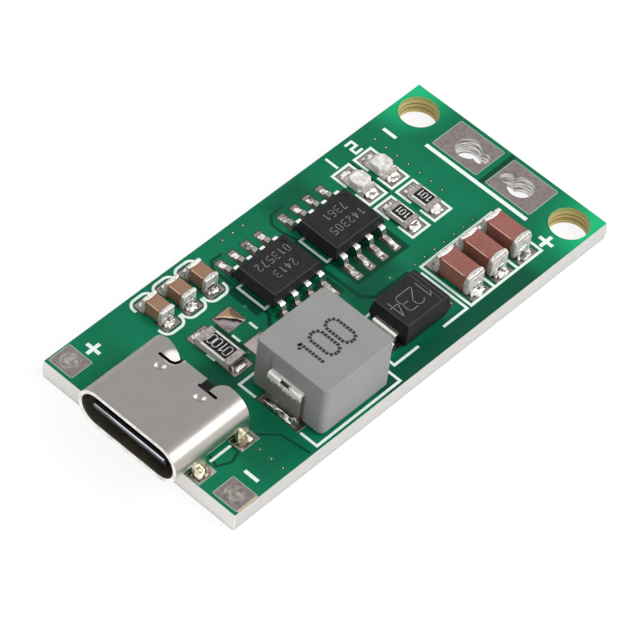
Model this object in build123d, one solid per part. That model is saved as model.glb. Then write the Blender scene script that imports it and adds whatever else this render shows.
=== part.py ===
from build123d import *
import os

# Lithium battery charger module: a small printed board with a Type-C power socket at one end,
# a boost stage of two eight-lead chips, a moulded inductor, a diode and chip capacitors along
# its middle, and two large wire lands and two mounting holes at the other end.
# Plan coordinates below run from the corner of the board's top face: x from the socket end
# towards the wire lands, y from the long edge beside the inductor. All sizes are millimetres.

# Board
BOARD_LENGTH = 37.0
BOARD_WIDTH = 17.6
BOARD_THICKNESS = 1.6
WEB_PROUD = 0.05
SCORE_DEPTH = 0.45
MASK_THICKNESS = 0.04
MASK_CLEARANCE = 0.06
LEGEND_THICKNESS = 0.02
LEGEND_LINE = 0.18

# Mounting holes at the output end
MOUNT_HOLE_DIAMETER = 2.9
MOUNT_HOLE_FROM_END = 1.95
MOUNT_HOLE_FROM_SIDE = 1.75
MOUNT_RIM = 0.12

# Wire lands at the output end, each with a large and a small drilling run together
OUTPUT_LAND_LENGTH = 4.0
OUTPUT_LAND_DEPTH = 3.0
OUTPUT_LAND_GAP = 1.0
OUTPUT_LAND_FROM_END = 0.4
OUTPUT_LANDS_OFF_MIDDLE = -0.1
WIRE_HOLE_DIAMETER = 2.0
WIRE_HOLE_FROM_MIDDLE = 2.45
RELIEF_HOLE_DIAMETER = 1.2
RELIEF_HOLE_FROM_MIDDLE = 1.24
WIRE_HOLE_WALL = 0.16
PLATING = 0.05

# Wire lands beside the socket, with solder-filled holes
INPUT_LAND_DEPTH = 1.9
INPUT_LAND_LENGTH = 2.1
INPUT_LAND_X = 1.25
INPUT_LAND_FROM_SIDE = 1.22
INPUT_HOLE_DIAMETER = 1.5
INPUT_SOLDER_SUNK = 0.12

# Plated vias
VIA_DIAMETER = 0.44
VIA_BORE = 0.22
OUTPUT_VIA_X = 30.85
OUTPUT_VIA_FIRST_Y = 9.84
OUTPUT_VIA_PITCH = 1.06
OUTPUT_VIA_COUNT = 7
CAPACITOR_VIA_Y = 6.52
CAPACITOR_VIA_FIRST_X = 24.4
CAPACITOR_VIA_PITCH = 1.0
CAPACITOR_VIA_COUNT = 7
FAR_VIA_FROM_SIDE = 0.68
FAR_VIA_FIRST_X = 16.3
FAR_VIA_PITCH = 1.0
FAR_VIA_COUNT = 3
NEAR_VIA_X = 5.1
NEAR_VIA_FIRST_Y = 0.55
NEAR_VIA_PITCH = 1.06
NEAR_VIA_COUNT = 3
SINGLE_VIAS = [(13.16, 11.77), (22.27, 6.85), (10.48, 8.86)]

# Type-C socket
SOCKET_OFF_MIDDLE = -0.28
SOCKET_OVERHANG = 1.5
SOCKET_LENGTH = 6.9
SOCKET_WIDTH = 8.94
SOCKET_HEIGHT = 3.24
SOCKET_WALL = 0.3
SOCKET_RIM_ROUND = 0.1
TONGUE_WIDTH = 6.69
TONGUE_THICKNESS = 0.7
TONGUE_SETBACK = 0.25
MID_PLATE_THICKNESS = 0.16
MID_PLATE_SETBACK = 0.25
INSULATOR_FRONT = 4.6
INSULATOR_REAR_SETBACK = 0.45
INSULATOR_CLEARANCE = 0.02
CONTACT_PLACES = [-2.87, -1.37, -0.87, -0.37, 0.13, 0.63, 1.13, 2.63]
CONTACT_WIDTH = 0.22
CONTACT_THICKNESS = 0.1
CONTACT_SETBACK = 0.5
CONTACT_ROW_SHIFT = 0.25
CONTACT_FOOT = 0.7
BOTTOM_OPENING_START = 6.2
BOTTOM_OPENING_HALF_WIDTH = 3.3
REAR_TAB_HALF_WIDTH = 1.07
REAR_TAB_END = 6.33
NEAR_NOTCH_HALF_WIDTH = 1.85
SLIT_START = 5.47
SLIT_WIDTH = 0.18
SLIT_END_HALF_WIDTH = 2.55
FAR_SLIT_BEND = 0.55
FLAP_CORNER_HALF_WIDTH = 3.2
DIMPLE_FROM_FRONT = 4.85
DIMPLE_HALF_SPACING = 1.82
DIMPLE_SPHERE_RADIUS = 0.6
DIMPLE_DEPTH = 0.12
FRONT_TAB_X = 0.9
REAR_TAB_X = 4.95
SOCKET_TAB_LENGTH = 1.0
SOCKET_TAB_DEPTH = 1.3
SOCKET_SLOT_CLEARANCE = 0.15
SOCKET_TAB_LAND_LENGTH = 1.6
SOCKET_TAB_LAND_OUTSIDE = 0.85
SOCKET_TAB_LAND_INSIDE = 0.3
SOCKET_TAB_SOLDER_RISE = 0.75
SOCKET_TAB_SOLDER_RUN = 0.55

# Input capacitors, a row of three
INPUT_CAPACITOR_X = 8.4
INPUT_CAPACITOR_Y = 15.35
INPUT_CAPACITOR_PITCH = 2.11
INPUT_CAPACITOR_LENGTH = 1.9
INPUT_CAPACITOR_WIDTH = 1.2
INPUT_CAPACITOR_HEIGHT = 1.2
INPUT_CAPACITOR_BAND = 0.42
INPUT_CAPACITOR_ROUND = 0.08
INPUT_LAND_REACH = 1.6
INPUT_LAND_INNER = 0.45
INPUT_PAD_WIDTH = 1.4
INPUT_OUTLINE_WIDTH = 2.1
INPUT_OUTLINE_LENGTH = 3.95
INPUT_OUTLINE_LEG = 0.9
INPUT_OUTLINE_ROUND = 0.7

# Output capacitors, a row of three
OUTPUT_CAPACITOR_X = 25.75
OUTPUT_CAPACITOR_Y = 3.75
OUTPUT_CAPACITOR_PITCH = 2.41
OUTPUT_CAPACITOR_LENGTH = 3.2
OUTPUT_CAPACITOR_WIDTH = 1.6
OUTPUT_CAPACITOR_HEIGHT = 1.6
OUTPUT_CAPACITOR_BAND = 0.62
OUTPUT_CAPACITOR_ROUND = 0.22
OUTPUT_OUTLINE_LENGTH = 4.82
OUTPUT_OUTLINE_LEG = 0.95
DIP_RADIUS = 2.2
TERMINAL_FILM = 0.04
CERAMIC_EDGE = 0.05

# Land pattern shared by the large chip parts
LARGE_PAD_WIDTH = 1.73
LARGE_PAD_REACH = 2.27
LARGE_PAD_INNER = 0.67

# Current-sense resistor and the empty place beside it
SENSE_RESISTOR_X = 9.15
SENSE_RESISTOR_Y = 10.25
SPARE_PLACE_STEP = 2.42
SENSE_RESISTOR_LENGTH = 3.2
SENSE_RESISTOR_WIDTH = 1.6
SENSE_RESISTOR_HEIGHT = 0.6
SENSE_RESISTOR_BAND = 0.5
SENSE_COAT_LENGTH = 2.07
SENSE_COAT_WIDTH = 1.2
SENSE_DASH_OFFSET = 0.83
SENSE_DASH_LENGTH = 0.72
SPARE_SOLDER_HEIGHT = 0.14

# Lamp row: two lamps with a resistor each, in outlined cells
LAMP_X = 26.92
LAMP_PITCH = 2.24
LAMP_Y = 14.03
LAMP_RESISTOR_Y = 10.02
SMALL_PAD_WIDTH = 1.4
SMALL_PAD_REACH = 1.63
SMALL_PAD_INNER = 0.62
CELL_WIDTH = 1.86
CELL_LENGTH = 3.74
CELL_LEG = 1.25
LAMP_LENGTH = 2.0
LAMP_WIDTH = 1.36
LAMP_BASE_HEIGHT = 0.3
LAMP_LENS_LENGTH = 1.3
LAMP_LENS_HEIGHT = 0.45
LAMP_LENS_SLOPE = 0.1
LAMP_BAND = 0.3
SMALL_RESISTOR_LENGTH = 2.04
SMALL_RESISTOR_WIDTH = 1.25
SMALL_RESISTOR_HEIGHT = 0.5
SMALL_RESISTOR_BAND = 0.38
SMALL_COAT_LENGTH = 1.2
SMALL_COAT_WIDTH = 0.95
COAT_PROUD = 0.015

# Eight-lead chips
SWITCH_X = 16.57
CONTROLLER_X = 22.7
CHIP_Y = 12.0
CHIP_LENGTH = 4.9
CHIP_WIDTH = 3.9
CHIP_TOP = 1.5
CHIP_PARTING = 0.8
CHIP_STANDOFF = 0.1
CHIP_DRAFT = 0.26
MOULDING_EDGE = 0.05
CHIP_DIMPLE_DIAMETER = 0.5
CHIP_DIMPLE_DEPTH = 0.05
CHIP_DIMPLE_IN = 0.55
LEAD_PITCH = 1.27
LEAD_COUNT = 4
LEAD_WIDTH = 0.42
LEAD_THICKNESS = 0.2
LEAD_SPAN = 6.0
LEAD_FOOT = 0.55
LEAD_SHOULDER = 0.25
LEAD_ROOT = 0.3
LEAD_BEND = 0.12
CHIP_PAD_WIDTH = 0.62
CHIP_PAD_REACH = 3.82
CHIP_PAD_INNER = 2.2
CHIP_BRACKET_OFFSET = 2.56
CHIP_BRACKET_LENGTH = 2.52
CHIP_BRACKET_TICK = 0.42

# Rectifier diode
DIODE_X = 20.5
DIODE_Y = 3.53
DIODE_LENGTH = 4.4
DIODE_WIDTH = 3.5
DIODE_TOP = 2.25
DIODE_PARTING = 1.15
DIODE_STANDOFF = 0.2
DIODE_DRAFT = 0.18
DIODE_LEAD_WIDTH = 2.1
DIODE_LEAD_THICKNESS = 0.2
DIODE_SPAN = 5.4
DIODE_LEAD_FOLD = 1.1
DIODE_LEAD_ROOT = 0.35
DIODE_BAND_FROM_END = 0.62
DIODE_BAND_WIDTH = 0.05
DIODE_BAND_STEP = 0.35
DIODE_BAND_DEPTH = 0.03
DIODE_PAD_WIDTH = 2.4
DIODE_PAD_REACH = 3.3
DIODE_PAD_INNER = 1.5
DIODE_BRACKET_REACH = 3.65
DIODE_BRACKET_SIDE = 2.08
DIODE_BRACKET_LEG = 2.3

# Moulded power inductor
INDUCTOR_X = 12.1
INDUCTOR_Y = 3.82
INDUCTOR_LENGTH = 6.65
INDUCTOR_WIDTH = 6.45
INDUCTOR_TOP = 4.6
INDUCTOR_CORNER = 0.45
INDUCTOR_EDGE = 0.08
INDUCTOR_RECESS_WIDTH = 3.3
INDUCTOR_RECESS_DEPTH = 0.1
INDUCTOR_RECESS_SHIFT = 0.12
STRAP_WIDTH = 2.95
STRAP_THICKNESS = 0.2
STRAP_HEIGHT = 2.7
STRAP_STAND_OFF = 0.15
STRAP_FOLD = 1.3
STRAP_ROOT = 0.5
STRAP_BEND = 0.2
STRAP_SLIT_WIDTH = 1.0
STRAP_SLIT_HEIGHT = 0.45
INDUCTOR_PAD_WIDTH = 3.65
INDUCTOR_PAD_REACH = 4.1
INDUCTOR_PAD_INNER = 2.0
INDUCTOR_BRACKET_REACH_X = 4.05
INDUCTOR_BRACKET_REACH_Y = 3.54
INDUCTOR_BRACKET_LEG = 1.4

# Solder fillets
CAPACITOR_SOLDER_RISE = 0.62
OUTPUT_SOLDER_RISE = 0.8
RESISTOR_SOLDER_RISE = 0.4
LAMP_SOLDER_RISE = 0.25
LEAD_SOLDER_RISE = 0.18
LEAD_SOLDER_RUN = 0.5
DIODE_SOLDER_RISE = 0.85
STRAP_SOLDER_RISE = 0.55
SOLDER_END_GAP = 0.06

# Printed marks
OUTPUT_LINE_X = 33.1
OUTPUT_LINE_WIDTH = 0.3
OUTPUT_LINE_LENGTH = 9.1
SIGN_SIZE = 1.2
SIGN_LINE = 0.26
INPUT_SIGN_X = 3.1
INPUT_SIGN_FROM_SIDE = 1.5
OUTPUT_SIGN_X = 32.0
OUTPUT_SIGN_FROM_SIDE = 1.75
DIGIT_HEIGHT = 1.15
DIGIT_WIDTH = 0.75
DIGIT_Y = 16.65
SOCKET_DASH_X = 2.95
SOCKET_DASH_LENGTH = 1.75
SOCKET_DASH_IN = 0.12
SOCKET_STRIP_OUT = 0.75

# Levels worked out from the board
TOP = BOARD_THICKNESS
CORE_TOP = BOARD_THICKNESS - MASK_THICKNESS
CORE_BOTTOM = MASK_THICKNESS
SHIFT_X = -(BOARD_LENGTH + WEB_PROUD - SOCKET_OVERHANG) / 2
SHIFT_Y = -BOARD_WIDTH / 2
SOCKET_MIDDLE_Y = BOARD_WIDTH / 2 + SOCKET_OFF_MIDDLE
OUTPUT_LANDS_MIDDLE = BOARD_WIDTH / 2 + OUTPUT_LANDS_OFF_MIDDLE


def block(x, y, z, length, width, height):
    """A block centred on x and y that stands on the level z."""
    return Pos(x, y, z) * Box(length, width, height, align=(Align.CENTER, Align.CENTER, Align.MIN))


def rod(x, y, z, diameter, height):
    """An upright round rod that stands on the level z."""
    return Pos(x, y, z) * Cylinder(diameter / 2, height, align=(Align.CENTER, Align.CENTER, Align.MIN))


def fuse(shapes):
    """One shape from several that touch or overlap."""
    result = shapes[0]
    for shape in shapes[1:]:
        result = result + shape
    return result


def group(shapes):
    """Separate solids kept together as one part."""
    solids = []
    for shape in shapes:
        solids.extend(shape.solids())
    return Compound(children=solids)


def save(name, shape):
    """Write one piece, moved from plan coordinates to the module's own frame."""
    export_step(Pos(SHIFT_X, SHIFT_Y, 0) * shape, f"parts/{name}.step")


def frustum(x, y, low, high, low_size, high_size):
    """A tapered block between two levels, each with its own length and width."""
    faces = [
        Pos(x, y, low) * Rectangle(*low_size),
        Pos(x, y, high) * Rectangle(*high_size),
    ]
    return loft([face.face() for face in faces])


# Places of what is drilled or soldered, shared by the board, the masks and the lands

def mount_hole_places():
    x = BOARD_LENGTH - MOUNT_HOLE_FROM_END
    return [(x, MOUNT_HOLE_FROM_SIDE), (x, BOARD_WIDTH - MOUNT_HOLE_FROM_SIDE)]


def output_land_places():
    """Centre of each output land, with its side of the middle line between the two."""
    x = BOARD_LENGTH - OUTPUT_LAND_FROM_END - OUTPUT_LAND_DEPTH / 2
    step = (OUTPUT_LAND_LENGTH + OUTPUT_LAND_GAP) / 2
    return [(x, OUTPUT_LANDS_MIDDLE - step, -1), (x, OUTPUT_LANDS_MIDDLE + step, 1)]


def keyhole(place, grown, z, height):
    """The two drillings of one output land, grown by a radius."""
    x, y, side = place
    large_y = OUTPUT_LANDS_MIDDLE + side * WIRE_HOLE_FROM_MIDDLE
    small_y = OUTPUT_LANDS_MIDDLE + side * RELIEF_HOLE_FROM_MIDDLE
    large = rod(x, large_y, z, WIRE_HOLE_DIAMETER + 2 * grown, height)
    small = rod(x, small_y, z, RELIEF_HOLE_DIAMETER + 2 * grown, height)
    return large + small


def input_land_places():
    return [(INPUT_LAND_X, INPUT_LAND_FROM_SIDE), (INPUT_LAND_X, BOARD_WIDTH - INPUT_LAND_FROM_SIDE)]


def via_places():
    places = list(SINGLE_VIAS)
    for step in range(OUTPUT_VIA_COUNT):
        places.append((OUTPUT_VIA_X, OUTPUT_VIA_FIRST_Y + step * OUTPUT_VIA_PITCH))
    for step in range(CAPACITOR_VIA_COUNT):
        places.append((CAPACITOR_VIA_FIRST_X + step * CAPACITOR_VIA_PITCH, CAPACITOR_VIA_Y))
    for step in range(FAR_VIA_COUNT):
        places.append((FAR_VIA_FIRST_X + step * FAR_VIA_PITCH, BOARD_WIDTH - FAR_VIA_FROM_SIDE))
    for step in range(NEAR_VIA_COUNT):
        places.append((NEAR_VIA_X, NEAR_VIA_FIRST_Y + step * NEAR_VIA_PITCH))
    return places


def socket_tab_places():
    """Middle of each of the four socket tabs, with the side of the socket it stands on."""
    offset = SOCKET_WIDTH / 2 - SOCKET_WALL / 2
    places = []
    for x in (FRONT_TAB_X, REAR_TAB_X):
        for side in (-1, 1):
            places.append((x, SOCKET_MIDDLE_Y + side * offset, side))
    return places


def socket_slot(place, z, height):
    x, y, side = place
    length = SOCKET_TAB_LENGTH + 2 * SOCKET_SLOT_CLEARANCE
    width = SOCKET_WALL + 2 * SOCKET_SLOT_CLEARANCE
    return block(x, y, z, length, width, height)


def pad_pair(x, y, width, inner, reach, along_x=False):
    """Two lands either side of a chip part, as rectangles of x, y, length and width."""
    middle = (inner + reach) / 2
    depth = reach - inner
    if along_x:
        return [(x - middle, y, depth, width), (x + middle, y, depth, width)]
    return [(x, y - middle, width, depth), (x, y + middle, width, depth)]


def input_capacitor_places():
    return [(INPUT_CAPACITOR_X + step * INPUT_CAPACITOR_PITCH, INPUT_CAPACITOR_Y) for step in range(3)]


def output_capacitor_places():
    return [(OUTPUT_CAPACITOR_X + step * OUTPUT_CAPACITOR_PITCH, OUTPUT_CAPACITOR_Y) for step in range(3)]


def lamp_places():
    return [(LAMP_X + step * LAMP_PITCH, LAMP_Y) for step in range(2)]


def lamp_resistor_places():
    return [(LAMP_X + step * LAMP_PITCH, LAMP_RESISTOR_Y) for step in range(2)]


def spare_pads():
    x = SENSE_RESISTOR_X + SPARE_PLACE_STEP
    return pad_pair(x, SENSE_RESISTOR_Y, LARGE_PAD_WIDTH, LARGE_PAD_INNER, LARGE_PAD_REACH)


def lead_places():
    """Distance of each lead from a chip's middle, along its row."""
    return [(step - (LEAD_COUNT - 1) / 2) * LEAD_PITCH for step in range(LEAD_COUNT)]


def contact_pad_x():
    return SOCKET_LENGTH - SOCKET_OVERHANG + CONTACT_FOOT / 2


def contact_pads():
    pads = []
    for shift in (0, CONTACT_ROW_SHIFT):
        for place in CONTACT_PLACES:
            y = SOCKET_MIDDLE_Y + place + shift
            pads.append((contact_pad_x(), y, CONTACT_FOOT, CONTACT_WIDTH))
    return pads


def surface_pads():
    """Every plain rectangular land on the top face."""
    pads = []
    for x, y in input_capacitor_places():
        pads += pad_pair(x, y, INPUT_PAD_WIDTH, INPUT_LAND_INNER, INPUT_LAND_REACH)
    for x, y in output_capacitor_places():
        pads += pad_pair(x, y, LARGE_PAD_WIDTH, LARGE_PAD_INNER, LARGE_PAD_REACH)
    pads += pad_pair(SENSE_RESISTOR_X, SENSE_RESISTOR_Y, LARGE_PAD_WIDTH, LARGE_PAD_INNER, LARGE_PAD_REACH)
    pads += spare_pads()
    for x, y in lamp_places() + lamp_resistor_places():
        pads += pad_pair(x, y, SMALL_PAD_WIDTH, SMALL_PAD_INNER, SMALL_PAD_REACH)
    for chip_x in (SWITCH_X, CONTROLLER_X):
        for place in lead_places():
            pads += pad_pair(chip_x + place, CHIP_Y, CHIP_PAD_WIDTH, CHIP_PAD_INNER, CHIP_PAD_REACH)
    pads += pad_pair(DIODE_X, DIODE_Y, DIODE_PAD_WIDTH, DIODE_PAD_INNER, DIODE_PAD_REACH, True)
    pads += pad_pair(INDUCTOR_X, INDUCTOR_Y, INDUCTOR_PAD_WIDTH, INDUCTOR_PAD_INNER, INDUCTOR_PAD_REACH, True)
    pads += contact_pads()
    return pads


def tab_pad(place):
    """Land round one socket slot: x, y, length and width."""
    x, y, side = place
    width = SOCKET_TAB_LAND_OUTSIDE + SOCKET_TAB_LAND_INSIDE
    middle = y + side * (SOCKET_TAB_LAND_OUTSIDE - SOCKET_TAB_LAND_INSIDE) / 2
    return (x, middle, SOCKET_TAB_LAND_LENGTH, width)


# Board, masks, lands and print

def board_laminate():
    face = (BOARD_LENGTH, BOARD_WIDTH)
    web = (BOARD_LENGTH + 2 * WEB_PROUD, BOARD_WIDTH + 2 * WEB_PROUD)
    middle_x = BOARD_LENGTH / 2
    middle_y = BOARD_WIDTH / 2
    lower = frustum(middle_x, middle_y, CORE_BOTTOM, SCORE_DEPTH, face, web)
    centre = block(middle_x, middle_y, SCORE_DEPTH, *web, BOARD_THICKNESS - 2 * SCORE_DEPTH)
    upper = frustum(middle_x, middle_y, BOARD_THICKNESS - SCORE_DEPTH, CORE_TOP, web, face)
    core = lower + centre + upper
    for x, y in mount_hole_places():
        core -= rod(x, y, 0, MOUNT_HOLE_DIAMETER, BOARD_THICKNESS)
    for place in output_land_places():
        core -= keyhole(place, WIRE_HOLE_WALL, 0, BOARD_THICKNESS)
    for x, y in input_land_places():
        core -= rod(x, y, 0, INPUT_HOLE_DIAMETER + 2 * PLATING, BOARD_THICKNESS)
    for x, y in via_places():
        core -= rod(x, y, 0, VIA_DIAMETER, BOARD_THICKNESS)
    for place in socket_tab_places():
        core -= socket_slot(place, 0, BOARD_THICKNESS)
    return core


def mask_sheet(z):
    """A mask over a whole face, open at the mounting holes, the wire lands and the vias."""
    sheet = block(BOARD_LENGTH / 2, BOARD_WIDTH / 2, z, BOARD_LENGTH, BOARD_WIDTH, MASK_THICKNESS)
    for x, y in mount_hole_places():
        sheet -= rod(x, y, z, MOUNT_HOLE_DIAMETER + 2 * MOUNT_RIM, MASK_THICKNESS)
    opening = 2 * MASK_CLEARANCE
    for x, y, side in output_land_places():
        sheet -= block(x, y, z, OUTPUT_LAND_DEPTH + opening, OUTPUT_LAND_LENGTH + opening, MASK_THICKNESS)
    for x, y in input_land_places():
        sheet -= block(x, y, z, INPUT_LAND_DEPTH + opening, INPUT_LAND_LENGTH + opening, MASK_THICKNESS)
    for x, y in via_places():
        sheet -= rod(x, y, z, VIA_DIAMETER, MASK_THICKNESS)
    for place in socket_tab_places():
        x, y, length, width = tab_pad(place)
        sheet -= block(x, y, z, length + opening, width + opening, MASK_THICKNESS)
    return sheet


def solder_mask_top():
    sheet = mask_sheet(CORE_TOP)
    opening = 2 * MASK_CLEARANCE
    for x, y, length, width in surface_pads():
        sheet -= block(x, y, CORE_TOP, length + opening, width + opening, MASK_THICKNESS)
    return sheet


def component_lands():
    lands = []
    for x, y, length, width in surface_pads():
        lands.append(block(x, y, CORE_TOP, length, width, MASK_THICKNESS))
    for place in socket_tab_places():
        x, y, length, width = tab_pad(place)
        for z in (0, CORE_TOP):
            land = block(x, y, z, length, width, MASK_THICKNESS)
            lands.append(land - socket_slot(place, z, MASK_THICKNESS))
    return group(lands)


def plated_land(x, y, length, width, hole, hole_grown):
    """A wire land on both faces, joined by the plating of its hole."""
    plates = []
    for z in (0, CORE_TOP):
        plates.append(block(x, y, z, length, width, MASK_THICKNESS))
    return fuse([plates[0], plates[1], hole_grown]) - hole


def output_land(place):
    x, y, side = place
    hole = keyhole(place, 0, 0, BOARD_THICKNESS)
    barrel = keyhole(place, WIRE_HOLE_WALL, 0, BOARD_THICKNESS)
    return plated_land(x, y, OUTPUT_LAND_DEPTH, OUTPUT_LAND_LENGTH, hole, barrel)


def input_land(place):
    x, y = place
    hole = rod(x, y, 0, INPUT_HOLE_DIAMETER, BOARD_THICKNESS)
    barrel = rod(x, y, 0, INPUT_HOLE_DIAMETER + 2 * PLATING, BOARD_THICKNESS)
    return plated_land(x, y, INPUT_LAND_DEPTH, INPUT_LAND_LENGTH, hole, barrel)


def input_hole_solder():
    plugs = []
    for x, y in input_land_places():
        plug = rod(x, y, 0, INPUT_HOLE_DIAMETER, BOARD_THICKNESS)
        radius = (INPUT_HOLE_DIAMETER ** 2 / 4 + INPUT_SOLDER_SUNK ** 2) / (2 * INPUT_SOLDER_SUNK)
        dish = Pos(x, y, BOARD_THICKNESS + radius - INPUT_SOLDER_SUNK) * Sphere(radius)
        plugs.append(plug - dish)
    return group(plugs)


def via_barrels():
    barrels = []
    for x, y in via_places():
        barrel = rod(x, y, 0, VIA_DIAMETER, BOARD_THICKNESS)
        barrels.append(barrel - rod(x, y, 0, VIA_BORE, BOARD_THICKNESS))
    return group(barrels)


def line(start, end, width=LEGEND_LINE):
    """A printed line between two plan points that share an x or a y, squared past its ends."""
    x = (start[0] + end[0]) / 2
    y = (start[1] + end[1]) / 2
    length = abs(end[0] - start[0]) + width
    depth = abs(end[1] - start[1]) + width
    return block(x, y, TOP, length, depth, LEGEND_THICKNESS)


def path(points, width=LEGEND_LINE):
    """Printed lines joined end to end."""
    return fuse([line(points[i], points[i + 1], width) for i in range(len(points) - 1)])


def cell_ends(x, y, width, length, leg):
    """Two open brackets, one round each end of a chip part."""
    half = width / 2 - LEGEND_LINE / 2
    shapes = []
    for side in (-1, 1):
        end = y + side * (length / 2 - LEGEND_LINE / 2)
        inner = end - side * leg
        shapes.append(path([(x - half, inner), (x - half, end), (x + half, end), (x + half, inner)]))
    return shapes


def rounded_ends(x, y, width, length, leg, radius):
    """Like cell_ends, with rounded corners."""
    shapes = []
    for side in (-1, 1):
        outer = Rectangle(width, 2 * leg)
        outer = fillet(outer.vertices(), radius)
        inner = Rectangle(width - 2 * LEGEND_LINE, 2 * leg - 2 * LEGEND_LINE)
        inner = fillet(inner.vertices(), radius - LEGEND_LINE)
        ring = extrude(outer - inner, LEGEND_THICKNESS)
        ring = Pos(x, y + side * (length / 2 - leg), TOP) * ring
        cut = block(x, y + side * (length / 2 - 1.5 * leg), TOP, 2 * width, leg, LEGEND_THICKNESS)
        if side < 0:
            cut = block(x, y - (length / 2 - 1.5 * leg), TOP, 2 * width, leg, LEGEND_THICKNESS)
        shapes.append(ring - cut)
    return shapes


def plus_sign(x, y):
    reach = (SIGN_SIZE - SIGN_LINE) / 2
    return line((x - reach, y), (x + reach, y), SIGN_LINE) + line((x, y - reach), (x, y + reach), SIGN_LINE)


def minus_sign(x, y):
    reach = (SIGN_SIZE - SIGN_LINE) / 2
    return line((x, y - reach), (x, y + reach), SIGN_LINE)


def digit_one(x, y):
    half = (DIGIT_HEIGHT - LEGEND_LINE) / 2
    return line((x, y - half), (x, y + half))


def digit_two(x, y):
    """A two built of straight strokes, its foot towards the near edge."""
    half = (DIGIT_HEIGHT - LEGEND_LINE) / 2
    reach = (DIGIT_WIDTH - LEGEND_LINE) / 2
    points = [
        (x - reach, y + half),
        (x + reach, y + half),
        (x + reach, y),
        (x - reach, y),
        (x - reach, y - half),
        (x + reach, y - half),
    ]
    return path(points)


def legend_print():
    marks = []
    for x, y in input_capacitor_places():
        marks += rounded_ends(x, y, INPUT_OUTLINE_WIDTH, INPUT_OUTLINE_LENGTH, INPUT_OUTLINE_LEG, INPUT_OUTLINE_ROUND)
    cells = []
    for x, y in output_capacitor_places():
        width = OUTPUT_CAPACITOR_PITCH + LEGEND_LINE
        cells += cell_ends(x, y, width, OUTPUT_OUTLINE_LENGTH, OUTPUT_OUTLINE_LEG)
    first_x = OUTPUT_CAPACITOR_X - OUTPUT_CAPACITOR_PITCH / 2
    side_half = OUTPUT_OUTLINE_LENGTH / 2 - LEGEND_LINE / 2
    cells.append(line((first_x, OUTPUT_CAPACITOR_Y - side_half), (first_x, OUTPUT_CAPACITOR_Y + side_half)))
    marks.append(fuse(cells))
    for x, y in lamp_places() + lamp_resistor_places():
        marks += cell_ends(x, y, CELL_WIDTH, CELL_LENGTH, CELL_LEG)
    for x in (SENSE_RESISTOR_X, SENSE_RESISTOR_X + SPARE_PLACE_STEP):
        for side in (-1, 1):
            dash_x = x + side * SENSE_DASH_OFFSET
            if x > SENSE_RESISTOR_X or side < 0:
                half = (SENSE_DASH_LENGTH - LEGEND_LINE) / 2
                marks.append(line((dash_x, SENSE_RESISTOR_Y - half), (dash_x, SENSE_RESISTOR_Y + half)))
    for chip_x in (SWITCH_X, CONTROLLER_X):
        for side in (-1, 1):
            x = chip_x + side * CHIP_BRACKET_OFFSET
            tick = x - side * CHIP_BRACKET_TICK
            half = CHIP_BRACKET_LENGTH / 2
            marks.append(path([(tick, CHIP_Y - half), (x, CHIP_Y - half), (x, CHIP_Y + half), (tick, CHIP_Y + half)]))
    for side in (-1, 1):
        x = DIODE_X + side * DIODE_BRACKET_REACH
        leg = x - side * DIODE_BRACKET_LEG
        low = DIODE_Y - DIODE_BRACKET_SIDE
        high = DIODE_Y + DIODE_BRACKET_SIDE
        marks.append(path([(leg, low), (x, low), (x, high), (leg, high)]))
    marks += inductor_outline()
    near = OUTPUT_LANDS_MIDDLE - OUTPUT_LINE_LENGTH / 2
    far = OUTPUT_LANDS_MIDDLE + OUTPUT_LINE_LENGTH / 2
    marks.append(line((OUTPUT_LINE_X, near), (OUTPUT_LINE_X, far), OUTPUT_LINE_WIDTH))
    marks.append(minus_sign(INPUT_SIGN_X, INPUT_SIGN_FROM_SIDE))
    marks.append(plus_sign(INPUT_SIGN_X, BOARD_WIDTH - INPUT_SIGN_FROM_SIDE))
    marks.append(minus_sign(OUTPUT_SIGN_X, BOARD_WIDTH - OUTPUT_SIGN_FROM_SIDE))
    marks.append(plus_sign(OUTPUT_SIGN_X + SIGN_SIZE / 2, OUTPUT_SIGN_FROM_SIDE))
    marks.append(digit_one(LAMP_X, DIGIT_Y))
    marks.append(digit_two(LAMP_X + LAMP_PITCH, DIGIT_Y))
    for side in (-1, 1):
        half = SOCKET_DASH_LENGTH / 2
        y = SOCKET_MIDDLE_Y + side * (SOCKET_WIDTH / 2 - SOCKET_DASH_IN)
        marks.append(line((SOCKET_DASH_X - half, y), (SOCKET_DASH_X + half, y), LEGEND_LINE))
    return group(marks)


def inductor_outline():
    left = INDUCTOR_X - INDUCTOR_BRACKET_REACH_X
    right = INDUCTOR_X + INDUCTOR_BRACKET_REACH_X
    near = INDUCTOR_Y - INDUCTOR_BRACKET_REACH_Y
    far = INDUCTOR_Y + INDUCTOR_BRACKET_REACH_Y
    leg = INDUCTOR_BRACKET_LEG
    return [
        path([(left, near + leg), (left, near), (right, near), (right, near + leg)]),
        path([(left, far - leg), (left, far), (left + leg, far)]),
        path([(right, far - leg), (right, far), (right - leg, far)]),
    ]


# Socket

def slot_bar(width, height, start, length):
    """A bar of slot-shaped section along x, at the socket's own height and middle."""
    sketch = Plane.YZ * SlotOverall(width, height)
    bar = extrude(sketch, length)
    return Pos(start - SOCKET_OVERHANG, SOCKET_MIDDLE_Y, TOP + SOCKET_HEIGHT / 2) * bar


def socket_prism(points_sketch):
    """A tall prism over the socket's top sheet from a sketch of distance from the front and sideways."""
    prism = extrude(points_sketch, SOCKET_HEIGHT)
    return Pos(-SOCKET_OVERHANG, SOCKET_MIDDLE_Y, TOP + SOCKET_HEIGHT / 2) * prism


def flap_corner(start, bulge):
    """What rounds a flap's rear corner off, drawn on the far side."""
    beyond = SOCKET_LENGTH + 1
    end = (SOCKET_LENGTH, FLAP_CORNER_HALF_WIDTH)
    edges = [
        ThreePointArc(start, bulge, end),
        Line(end, (beyond, end[1])),
        Line((beyond, end[1]), (beyond, start[1])),
        Line((beyond, start[1]), start),
    ]
    return make_face(edges)


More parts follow.
